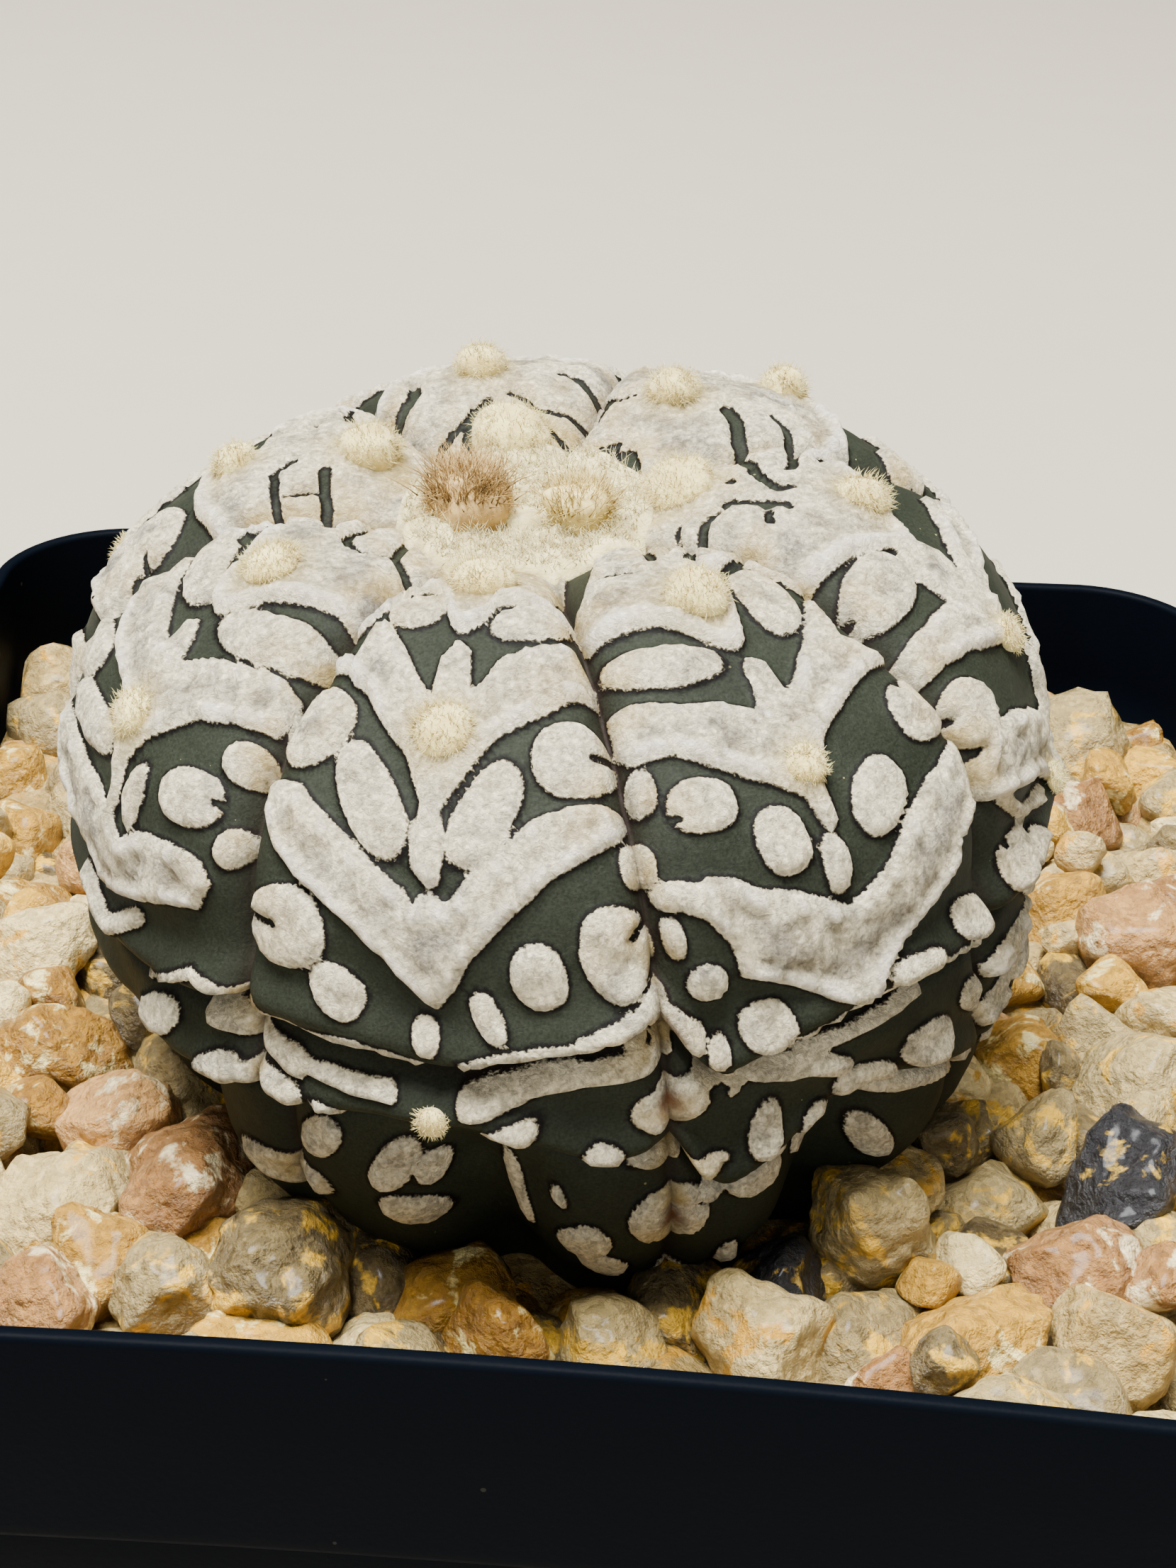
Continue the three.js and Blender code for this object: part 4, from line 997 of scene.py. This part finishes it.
# For each kind of stone: the material's name, its dark, light and stain colours, how rare the stain is,
# and its roughness
STONE_FINISHES = {
    "quartz": ("Grey quartz pebble", "#4b3d20", "#ad9762", "#dfae30", 0.55, 0.3),
    "ochre": ("Ochre-stained quartzite", "#7f560f", "#cb9b2f", "#f3df94", 0.56, 0.36),
    "rose": ("Rose feldspar grit", "#7f5526", "#c69656", "#edd9a6", 0.56, 0.36),
    "cream": ("Cream quartzite grit", "#93783e", "#e4cc8c", "#cc941c", 0.56, 0.36),
    "dark": ("Dark basalt grit", "#131214", "#2c2a28", "#c9a23a", 0.57, 0.38),
}


def river_grit(kind):
    """Tumbled mineral grit: crystals of about 0.7 mm, broken patches of stain, and a thin waxy wetness."""
    name, dark, light, stain, stain_from, rough = STONE_FINISHES[kind]
    material, tree, shader, _ = new_material(name, **{"IOR": 1.54, "Roughness": rough,
                                                     "Specular IOR Level": 0.45, "Coat Weight": 0.14,
                                                     "Coat Roughness": 0.2})
    place = add_node(tree, "Attribute", attribute_name="place").outputs["Vector"]
    tone = add_node(tree, "Attribute", attribute_name="tone").outputs["Fac"]
    crystal = add_node(tree, "TexNoise", {"Vector": place, "Scale": 1 / 1.3, "Detail": 6.0,
                                                   "Roughness": 0.7})
    fac = add_node(tree, "Math", {0: crystal.outputs["Fac"], 1: tone}, operation="ADD").outputs[0]
    lift = add_node(tree, "MapRange", {"Value": fac, "From Min": 0.55, "From Max": 1.35}).outputs[0]
    body = add_node(tree, "Mix", {"Factor": lift, "A": linear(dark), "B": linear(light)},
                    data_type="RGBA").outputs["Result"]
    patch = add_node(tree, "TexNoise", {"Vector": place, "Scale": 1 / 2.6, "Detail": 5.0,
                                                 "Roughness": 0.6, "Distortion": 0.4})
    stained = add_node(tree, "MapRange", {
        "Value": patch.outputs["Fac"], "From Min": stain_from, "From Max": stain_from + 0.07, "To Max": 0.9})
    body = add_node(tree, "Mix", {"Factor": stained.outputs[0], "A": body, "B": linear(stain)},
                    data_type="RGBA").outputs["Result"]
    grain = add_node(tree, "TexVoronoi", {"Vector": place, "Scale": 1 / 0.45}, feature="F1")
    chance = add_node(tree, "SeparateColor", {"Color": grain.outputs["Color"]})
    shade = add_node(tree, "MapRange", {"Value": chance.outputs[0], "To Min": 0.74, "To Max": 1.2})
    body = add_node(tree, "VectorMath", {0: body, "Scale": shade.outputs[0]}, operation="SCALE").outputs[0]
    tree.links.new(body, shader.inputs["Base Color"])
    rugged = add_node(tree, "TexNoise", {"Vector": place, "Scale": 1 / 0.8, "Detail": 6.0,
                                                  "Roughness": 0.62})
    facets = add_node(tree, "TexVoronoi", {"Vector": place, "Scale": 1 / 1.5}, feature="F1")
    facets = add_node(tree, "Math", {0: facets.outputs["Distance"], 1: 0.45}, operation="MULTIPLY")
    height = add_node(tree, "Math", {0: rugged.outputs["Fac"], 1: facets.outputs[0]})
    bump = add_node(tree, "Bump", {"Height": height.outputs[0], "Strength": 1.0, "Distance": 0.0009})
    tree.links.new(bump.outputs[0], shader.inputs["Normal"])
    return material


def to_walls(x, y, z):
    """Distance from places inside the pot to its inner wall, negative through it."""
    half = inner_half(z)
    corner = TOP_CORNER_RADIUS - POT_WALL
    bow = SIDE_BOW * (1 - (np.minimum(np.abs(x), np.abs(y)) / half) ** 2)
    px, py = np.abs(x) - (half - corner), np.abs(y) - (half - corner)
    outside = np.hypot(np.maximum(px, 0), np.maximum(py, 0)) + np.minimum(np.maximum(px, py), 0)
    return corner - outside - bow


def plant_radius(z):
    """The buried base's radius at heights in the pot's frame, flecks included."""
    heights, radii = OUTLINE[::-1, 1], OUTLINE[::-1, 0]
    return np.interp(z - PLANT_AT[2], heights[:900], radii[:900]) + 0.3


def settle_stones(settings):
    """Stones dropped into the pot and pushed apart until they rest side by side: places, radii, kinds."""
    rng = np.random.default_rng(settings.seed)
    count = settings.count
    half = inner_half(GRAVEL_TOP)
    named = np.array([s[:4] for s in NAMED_STONES])
    places = np.c_[rng.uniform(-half, half, (count, 2)), rng.uniform(GRAVEL_BOTTOM, GRAVEL_TOP + 3, count)]
    radii = (settings.smallest + (settings.largest - settings.smallest) * rng.random(count) ** 1.7) / 2
    places = np.concatenate([named[:, :3], places])
    radii = np.concatenate([named[:, 3], radii])
    kinds = np.concatenate([[s.kind for s in NAMED_STONES],
                            rng.choice(len(STONE_KINDS), count, p=STONE_SHARES)]).astype(int)
    free = np.arange(len(places)) >= len(named)
    for turn in range(SETTLE_TURNS):
        gap = places[:, None] - places[None]
        away = np.linalg.norm(gap, axis=2) + np.eye(len(places)) * 99
        over = np.maximum((radii[:, None] + radii[None]) * STONE_SPACING - away, 0)
        push = (gap / away[..., None] * (over * PUSH_SHARE)[..., None]).sum(axis=1)
        push[:, 2] -= SINK_STEP if turn < SINK_TURNS else 0.0
        places[free] += np.clip(push[free], -LARGEST_PUSH, LARGEST_PUSH)
        from_plant = places[:, :2] - np.array(PLANT_AT[:2])
        reach = np.linalg.norm(from_plant, axis=1)
        need = plant_radius(places[:, 2]) + radii * 0.85
        short = np.maximum(need - reach, 0) * free
        places[:, :2] += from_plant / reach[:, None] * short[:, None]
        for _ in range(2):
            x, y = places[:, 0], places[:, 1]
            deep = np.maximum(radii * 0.92 - to_walls(x, y, places[:, 2]), 0) * free
            inward = -places[:, :2] / (np.linalg.norm(places[:, :2], axis=1, keepdims=True) + 1e-6)
            places[:, :2] += inward * deep[:, None]
        places[:, 2] = np.maximum(places[:, 2], GRAVEL_BOTTOM + radii * 0.6)
    top = GRAVEL_TOP + 1.6 + rng.uniform(-0.6, 0.6, len(places))
    for x, y, lower, reach in HOLLOWS:
        top -= lower * bell(np.hypot(places[:, 0] - x, places[:, 1] - y), reach)
    kept = (places[:, 2] + 0.9 * radii < top) | ~free
    return places[kept], radii[kept], kinds[kept]


def inside_pot(points):
    """Points pressed back inside the pot's wall."""
    through = np.maximum(0.25 - to_walls(*points.T), 0)
    inward = -points[:, :2] / (np.linalg.norm(points[:, :2], axis=1, keepdims=True) + 1e-6)
    points[:, :2] += inward * (through * 1.4)[:, None]
    return points


def stone_shape(points, radius, rng):
    """A pebble broken to flat faces and tumbled, stretched and turned: points round its middle."""
    planes = unit(rng.normal(size=(STONE_FACES, 3)))
    reach = rng.uniform(0.66, 1.0, len(planes))
    facing = points @ planes.T
    cut = np.where(facing > 0.12, reach / np.maximum(facing, 0.12), 9)
    soft = -np.log(np.exp(-20 * cut).sum(axis=1)) / 20
    shape = points * np.minimum(soft, 1.1)[:, None] * 1.13
    at = shape * radius + rng.uniform(0, 90, 3)
    shape *= 1 + (0.10 * value_noise(at, 2.2, 5) + 0.055 * value_noise(at, 1.0, 6)
                  + 0.028 * value_noise(at, 0.5, 8))[:, None]
    shape *= radius * np.array([rng.uniform(0.98, 1.15), rng.uniform(0.9, 1.05), rng.uniform(0.78, 0.98)])
    tilt = Matrix.Rotation(rng.uniform(0, 2 * math.pi), 3, "Z") @ Matrix.Rotation(rng.normal(0, 0.5), 3, "X")
    tilt = tilt @ Matrix.Rotation(rng.normal(0, 0.5), 3, "Y")
    return shape @ np.array(tilt).T


class PotSettings(bpy.types.PropertyGroup):
    """Colour and finish of the nursery pot."""
    colour: bpy.props.StringProperty(
        name="Plastic", description="sRGB colour of the plastic", default="#02040a")
    dust: bpy.props.FloatProperty(
        name="Dust", description="Share of 2.6 mm cells that hold a speck", default=0.16, min=0, max=0.5,
        subtype="FACTOR")


class StoneSettings(bpy.types.PropertyGroup):
    """How many stones lie round the plant, and how large they are."""
    count: bpy.props.IntProperty(
        name="Stones", description="Number of stones", default=820, min=100, max=1200)
    smallest: bpy.props.FloatProperty(name="Smallest", description="Width in mm", default=3.4, min=2, max=8)
    largest: bpy.props.FloatProperty(name="Largest", description="Width in mm", default=8.4, min=3, max=12)
    seed: bpy.props.IntProperty(name="Seed", description="Start of the random draws", default=7, min=0)


class PlantSettings(bpy.types.PropertyGroup):
    """Colours of the plant, and how finely its skin is divided."""
    skin: bpy.props.StringProperty(
        name="Skin", description="sRGB colour of the bare skin", default="#191c15")
    wool: bpy.props.StringProperty(name="Wool", description="sRGB colour of the flecks", default="#f6eac8")
    columns: bpy.props.IntProperty(
        name="Columns", description="Columns of points on each rib", default=64, min=16, max=64)
    row_step: bpy.props.FloatProperty(
        name="Row step", description="Distance between rows of points in mm", default=0.31, min=0.3, max=2)


class StageSettings(bpy.types.PropertyGroup):
    """The floor, the light and the camera."""
    floor: bpy.props.StringProperty(name="Floor", description="sRGB colour of the floor", default="#a9a08e")
    key_power: bpy.props.FloatProperty(
        name="Top light", description="Power of the soft light above", default=162.0, min=0, unit="POWER")
    fill_power: bpy.props.FloatProperty(
        name="Front light", description="Power of the soft light in front", default=7.0, min=0, unit="POWER")
    world: bpy.props.FloatProperty(
        name="Room light", description="Strength of the light all round", default=0.14, min=0)


class CactusSettings(bpy.types.PropertyGroup):
    """All settings of the potted cactus."""
    pot: bpy.props.PointerProperty(type=PotSettings)
    stones: bpy.props.PointerProperty(type=StoneSettings)
    plant: bpy.props.PointerProperty(type=PlantSettings)
    stage: bpy.props.PointerProperty(type=StageSettings)


class CACTUS_OT_pot(bpy.types.Operator):
    """Mould the nursery pot, with its rim band, rounded lip and drainage holes"""
    bl_idname = "cactus.pot"
    bl_label = "Pot"

    def execute(self, context):
        settings = context.scene.potted_cactus.pot
        rows = pot_rows()
        points = np.concatenate([[(0, 0, POT_FLOOR)], *[pot_ring(*row) for row in rows], [(0, 0, 0)]])
        faces = [face[::-1] for face in skin_faces(len(rows), 4 * (SIDE_STEPS + CORNER_STEPS))]
        pot = make_piece("pot_shell", points, faces, black_polypropylene(settings.colour, settings.dust))
        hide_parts("pot")
        for x, y in product((-DRAIN_HOLE_OFFSET, DRAIN_HOLE_OFFSET), repeat=2):
            bpy.ops.mesh.primitive_cylinder_add(
                vertices=40, radius=DRAIN_HOLE_RADIUS * MM, depth=4 * POT_FLOOR * MM,
                location=(x * MM, y * MM, 0))
            drill = context.object
            cut = pot.modifiers.new("hole", "BOOLEAN")
            cut.operation, cut.solver, cut.object = "DIFFERENCE", "EXACT", drill
            context.view_layer.objects.active = pot
            bpy.ops.object.modifier_apply(modifier=cut.name)
            bpy.data.objects.remove(drill)
        return {"FINISHED"}


class CACTUS_OT_soil(bpy.types.Operator):
    """Give the potting mix under the stones its material"""
    bl_idname = "cactus.soil"
    bl_label = "Potting mix"

    def execute(self, context):
        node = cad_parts["potting_mix"]
        node.data.materials.clear()
        node.data.materials.append(mineral_potting_mix())
        return {"FINISHED"}


class CACTUS_OT_gravel(bpy.types.Operator):
    """Lay the stones round the plant, with grit under them"""
    bl_idname = "cactus.gravel"
    bl_label = "Stones"

    def execute(self, context):
        settings = context.scene.potted_cactus.stones
        rng = np.random.default_rng(settings.seed + 1)
        places, radii, kinds = settle_stones(settings)
        coarse, fine, finest = sphere(3), sphere(4), sphere(5)
        for number, kind in enumerate(STONE_KINDS):
            parts = []
            for i in np.flatnonzero(kinds == number):
                near = places[i, 1] < NEAR_STONES and places[i, 2] > GRIT_TOP + 1 and radii[i] > 2.9
                seen = places[i, 1] < SEEN_STONES and places[i, 2] > GRIT_TOP + 0.5
                points, faces = finest if near else fine if seen else coarse
                shape = stone_shape(points, radii[i], rng)
                parts.append((inside_pot(shape + places[i]), faces, {
                    "place": shape + rng.uniform(0, 900, 3),
                    "tone": np.full(len(shape), rng.uniform(0.1, 0.9))}))
            points, faces, values = join(parts)
            stones = make_piece(f"{kind}_stones", points, faces, river_grit(kind),
                                {"tone": values["tone"]}, {"place": values["place"]})
            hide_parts("gravel")
        self.lay_grit()
        return {"FINISHED"}

    def lay_grit(self):
        """Fine grit between the stones, as a rough bed from wall to wall."""
        rows = 30
        rings = []
        for k in np.linspace(0.03, 1, rows):
            ring = pot_ring(inner_half(GRIT_TOP) - 0.3, TOP_CORNER_RADIUS - POT_WALL - 0.3, 0) * k
            ring[:, 2] = GRIT_TOP + 0.7 * value_noise(ring, 2.4, 41) + 0.25 * value_noise(ring, 0.9, 42)
            rings.append(ring)
        under = rings[-1].copy()
        under[:, 2] = GRAVEL_BOTTOM - 0.3
        points = np.concatenate([[(0, 0, GRIT_TOP)], *rings, under, [(0, 0, GRAVEL_BOTTOM - 0.3)]])
        bed = make_piece("grit_bed", points, skin_faces(rows + 1, 4 * (SIDE_STEPS + CORNER_STEPS)),
                         river_grit("cream"), {"tone": np.full(len(points), 0.1)},
                         {"place": points})
        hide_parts("gravel")


class CACTUS_OT_body(bpy.types.Operator):
    """Grow the plant's body with its ribs, folds and white flecks"""
    bl_idname = "cactus.body"
    bl_label = "Body"

    def execute(self, context):
        settings = context.scene.potted_cactus.plant
        columns = []
        for rib, middle in enumerate(RIB_AZIMUTHS):
            before, after = rib_halves(rib)
            t = np.arange(settings.columns) * 2 / settings.columns - 1
            across = 1.2 * t - 0.2 * t ** 3
            columns.append(middle + across * np.where(across < 0, before, after))
        columns = np.concatenate(columns)
        fine_rows = np.arange(2.7, FLECK_FADE_OUT[1], settings.row_step)
        depths = np.r_[0.7, 1.4, 2.1, fine_rows, 63, SKIN_LENGTH]
        azimuth, depth = [grid.ravel() for grid in np.meshgrid(columns, depths)]
        skin, values = skin_points(azimuth, depth)
        a = np.radians(columns)
        root = bend(np.concatenate([np.c_[r * np.sin(a), -r * np.cos(a), np.full(len(a), z)]
                                    for r, z in ROOT_OUTLINE]))
        poles = bend(np.array([(0, 0, CREST_OUTLINE[0][1]), (0, 0, ROOT_TIP_HEIGHT)], float))
        points = np.concatenate([poles[:1], skin, root, poles[1:]])
        buried = {"fleck": -3, "roll": 0, "crease": 0, "areole": 0, "depth": SKIN_LENGTH, "groove": 0,
                  "scar": 0}
        data = {key: np.r_[values[key][0], values[key], np.full(len(root) + 1, end)]
                for key, end in buried.items()}
        body = make_piece("cactus_body", points, skin_faces(len(depths) + len(ROOT_OUTLINE), len(columns)),
                          felted_epidermis(settings.skin, settings.wool), data)
        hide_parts("cactus")
        return {"FINISHED"}


class CACTUS_OT_areoles(bpy.types.Operator):
    """Set the woolly tufts on the ribs' areoles"""
    bl_idname = "cactus.areoles"
    bl_label = "Areole wool"

    def execute(self, context):
        rng = np.random.default_rng(52)
        ball, ball_faces = sphere(4)
        parts = []
        for areole in sum(AREOLES, []):
            middle, across, down, out = skin_frame(areole.azimuth, areole.depth)
            turn = np.c_[across, down, out]
            shape = ball * np.array([areole.radius, areole.radius, areole.proud])
            shape *= 1 + 0.1 * value_noise(shape + middle, 0.9, 51)[:, None]
            core = shape @ turn.T + middle - out * areole.proud * 0.35
            parts.append((core, ball_faces, {"share": np.full(len(core), 0.75)}))
            count = int(TUFT_HAIRS * areole.radius)
            ways = rng.normal(size=(count, 3)) * np.array([1, 1, 0.8])
            ways[:, 2] = np.abs(ways[:, 2])
            ways = unit(ways)
            roots = ways * np.array([areole.radius, areole.radius, areole.proud]) * 0.93
            lean = unit(ways + rng.normal(size=ways.shape) * 0.55)
            hairs, faces, share = fibres(
                roots @ turn.T + middle - out * areole.proud * 0.35, lean @ turn.T,
                rng.uniform(0.3, 0.85, count) * min(1, areole.radius / 1.6), 0.03, 0.9, rng, rings=3)
            parts.append((hairs, faces, {"share": 0.6 + 0.4 * share}))
        points, faces, values = join(parts)
        make_piece("areole_wool", points, faces, matted_wool("Areole wool", "#ecdc94", "#b3964a"),
                   values)
        return {"FINISHED"}


class CACTUS_OT_crown(bpy.types.Operator):
    """Fill the sunken crown with matted wool"""
    bl_idname = "cactus.crown"
    bl_label = "Crown wool"
    radius: bpy.props.FloatProperty(name="Radius", description="Along the skin in mm", default=8.2)
    thickness: bpy.props.FloatProperty(name="Thickness", description="At the middle in mm", default=1.4)

    def execute(self, context):
        rng = np.random.default_rng(61)
        count, rows = 120, 34
        azimuth, depth = [g.ravel() for g in np.meshgrid(
            np.arange(count) * 360 / count, np.linspace(0.2, self.radius, rows))]
        k = depth / self.radius
        lumps, spread = wool_lumps(azimuth, depth)
        lumps += 0.12 * value_noise(spread, 0.5, 64)
        top, _ = skin_points(azimuth, depth, 0.2 + (self.thickness + lumps) * np.sqrt(1 - k ** 2))
        under, _ = skin_points(azimuth[-count:], depth[-count:], -0.3)
        middle, _ = skin_points(np.zeros(2), np.array([0.01, 0.01]), np.array([0.2 + self.thickness, -0.3]))
        points = np.concatenate([middle[:1], top, under, middle[1:]])
        parts = [(points, skin_faces(rows + 1, count), {"share": np.full(len(points), 0.75)})]
        hairs = CROWN_HAIRS
        at = rng.uniform(0, 360, hairs), self.radius * np.sqrt(rng.uniform(0.02, 0.95, hairs))
        lumps, _ = wool_lumps(*at)
        dome = np.sqrt(1 - (at[1] / self.radius) ** 2)
        roots, _ = skin_points(*at, 0.15 + (self.thickness + lumps) * dome)
        ways = unit(rng.normal(size=(hairs, 3)) * 0.8 + np.array([0, 0, 0.7]))
        hair, faces, share = fibres(roots, ways, rng.uniform(0.4, 1.1, hairs), 0.03, 1.0, rng, rings=3)
        parts.append((hair, faces, {"share": 0.6 + 0.4 * share}))
        points, faces, values = join(parts)
        wool = make_piece("crown_felt", points, faces, matted_wool("Crown wool", "#ecdfa2", "#8f763c"),
                          values)
        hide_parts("crown_wool")
        return {"FINISHED"}


class CACTUS_OT_flowers(bpy.types.Operator):
    """Stand the two withered flowers in the crown's wool"""
    bl_idname = "cactus.flowers"
    bl_label = "Dried flowers"

    def execute(self, context):
        rng = np.random.default_rng(71)
        finishes = {
            "dried_flower_left": dry_petal_fibre("Rust dry petals", "#bb9c62", "#60431d"),
            "dried_flower_right": dry_petal_fibre("Straw dry petals", "#d6c27e", "#846a30"),
        }
        ball, ball_faces = sphere(4)
        for flower in FLOWERS:
            low, high = [np.array(corner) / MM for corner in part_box(flower.node)]
            middle = (low + high) / 2
            foot = np.array([middle[0] + flower.right, middle[1], low[2] - 1.5])
            size = np.array([flower.radius * 1.3, flower.radius * 1.2, flower.height * 0.42])
            base = ball * size
            base *= 1 + 0.25 * value_noise(base + foot, 1.3, 72)[:, None]
            base += foot + np.array([0, 0, flower.height * 0.28])
            parts = [(base, ball_faces, {"share": np.full(len(base), 0.85)})]
            fuzz = rng.normal(size=(flower.hairs, 3))
            fuzz[:, 2] = np.abs(fuzz[:, 2])
            fuzz = unit(fuzz)
            lean = unit(fuzz + rng.normal(size=fuzz.shape) * 0.7)
            hairs, faces, share = fibres(
                foot + fuzz * size + np.array([0, 0, flower.height * 0.26]), lean,
                rng.uniform(0.3, 0.8, flower.hairs), 0.035, 1.0, rng, rings=3)
            parts.append((hairs, faces, {"share": 0.8 + 0.2 * share}))
            spread = rng.normal(size=(flower.hairs, 2)) * 0.27
            ways = unit(np.c_[spread + np.array(flower.lean) * 0.22, np.full(flower.hairs, 1.0)])
            roots = foot + np.c_[spread * flower.radius * 1.5, np.full(flower.hairs, flower.height * 0.42)]
            lean = unit(ways + rng.normal(size=ways.shape) * 0.22)
            hairs, faces, share = fibres(
                roots, lean, rng.uniform(1.0, 2.5, flower.hairs) * flower.height / 4.4, 0.05, 0.6, rng)
            parts.append((hairs, faces, {"share": share * 0.8}))
            points, faces, values = join(parts)
            piece = make_piece(flower.node + "_bristles", points, faces, finishes[flower.node],
                               values)
            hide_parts(flower.node)
        return {"FINISHED"}


class CACTUS_OT_stage(bpy.types.Operator):
    """Set the plain floor, the soft light and the camera"""
    bl_idname = "cactus.stage"
    bl_label = "Stage"
    distance: bpy.props.FloatProperty(name="Distance", description="Camera to its target", default=0.1575,
                                      unit="LENGTH")
    elevation: bpy.props.FloatProperty(name="Elevation", default=math.radians(29.22), subtype="ANGLE")
    yaw: bpy.props.FloatProperty(name="Yaw", default=math.radians(-2.85), subtype="ANGLE")
    roll: bpy.props.FloatProperty(name="Roll", default=math.radians(2.28), subtype="ANGLE")
    lens: bpy.props.FloatProperty(name="Lens", description="In mm over a 36 mm tall frame", default=54.13)

    def execute(self, context):
        settings = context.scene.potted_cactus.stage
        self.lay_floor(settings)
        self.hang_light("Top light", (-0.25, -0.1, 1.7), 0.85, settings.key_power)
        self.hang_light("Front light", (0.1, -0.95, 0.4), 0.9, settings.fill_power)
        world = bpy.data.worlds.new("Room")
        world.use_nodes = True
        world.node_tree.nodes["Background"].inputs[0].default_value = linear("#e9eaec")
        world.node_tree.nodes["Background"].inputs[1].default_value = settings.world
        context.scene.world = world
        self.place_camera(context)
        return {"FINISHED"}

    def lay_floor(self, settings):
        material, tree, shader, place = new_material("Matt paper", **{"Roughness": 0.9})
        fibre = add_node(tree, "TexNoise", {"Vector": place, "Scale": 1 / 0.02, "Detail": 4.0})
        tone = add_node(tree, "Mix", {
            "Factor": fibre.outputs["Fac"], "A": linear(settings.floor), "B": linear("#ada492")},
            data_type="RGBA")
        tree.links.new(tone.outputs["Result"], shader.inputs["Base Color"])
        bpy.ops.mesh.primitive_circle_add(
            vertices=96, radius=FLOOR_RADIUS, fill_type="NGON", location=(0, 0, 0))
        floor = bpy.context.object
        floor.name = "paper_floor"
        floor.data.materials.append(material)

    def hang_light(self, name, place, size, power):
        """A square soft light that faces the plant."""
        lamp = bpy.data.lights.new(name, "AREA")
        lamp.size, lamp.energy = size, power
        light = bpy.data.objects.new(name, lamp)
        light.location = place
        aim = Vector((0, 0, POT_HEIGHT * MM)) - light.location
        light.rotation_euler = aim.to_track_quat("-Z", "Y").to_euler()
        bpy.context.scene.collection.objects.link(light)

    def place_camera(self, context):
        """The photo's camera: a little left of the front, looking down, and slightly rolled."""
        target = Vector((1.39, 0, POT_HEIGHT + 5.65)) * MM
        ahead = Vector((math.sin(self.yaw) * math.cos(self.elevation),
                        math.cos(self.yaw) * math.cos(self.elevation), -math.sin(self.elevation)))
        right = Vector((math.cos(self.yaw), -math.sin(self.yaw), 0))
        up = right.cross(ahead)
        turn = Matrix.Rotation(self.roll, 3, "Z")
        axes = Matrix((right, up, -ahead)).transposed() @ turn
        lens = bpy.data.cameras.new("Camera")
        lens.sensor_fit, lens.sensor_height, lens.lens = "VERTICAL", 36, self.lens
        lens.clip_start, lens.clip_end = 0.005, 20
        camera = bpy.data.objects.new("Camera", lens)
        camera.matrix_world = Matrix.Translation(target - ahead * self.distance) @ axes.to_4x4()
        context.scene.collection.objects.link(camera)
        context.scene.camera = camera


STEPS = [CACTUS_OT_pot, CACTUS_OT_soil, CACTUS_OT_gravel, CACTUS_OT_body, CACTUS_OT_areoles, CACTUS_OT_crown,
         CACTUS_OT_flowers, CACTUS_OT_stage]


class CACTUS_PT_panel(bpy.types.Panel):
    """Settings and steps of the potted cactus"""
    bl_idname = "CACTUS_PT_panel"
    bl_label = "Potted star cactus"
    bl_space_type = "VIEW_3D"
    bl_region_type = "UI"
    bl_category = "Cactus"

    def draw(self, context):
        for group in ("pot", "stones", "plant", "stage"):
            settings = getattr(context.scene.potted_cactus, group)
            box = self.layout.box()
            for name in settings.bl_rna.properties.keys():
                if name not in ("rna_type", "name"):
                    box.prop(settings, name)
        for step in STEPS:
            self.layout.operator(step.bl_idname)


CLASSES = [PotSettings, StoneSettings, PlantSettings, StageSettings, CactusSettings, *STEPS, CACTUS_PT_panel]


def register():
    for cls in CLASSES:
        bpy.utils.register_class(cls)
    bpy.types.Scene.potted_cactus = bpy.props.PointerProperty(type=CactusSettings)


def unregister():
    del bpy.types.Scene.potted_cactus
    for cls in reversed(CLASSES):
        bpy.utils.unregister_class(cls)


def main():
    """Build the potted cactus piece by piece."""
    register()
    bpy.ops.cactus.pot()
    bpy.ops.cactus.soil()
    bpy.ops.cactus.gravel()
    bpy.ops.cactus.body()
    bpy.ops.cactus.areoles()
    bpy.ops.cactus.crown()
    bpy.ops.cactus.flowers()
    bpy.ops.cactus.stage()


if __name__ == "__main__":
    main()
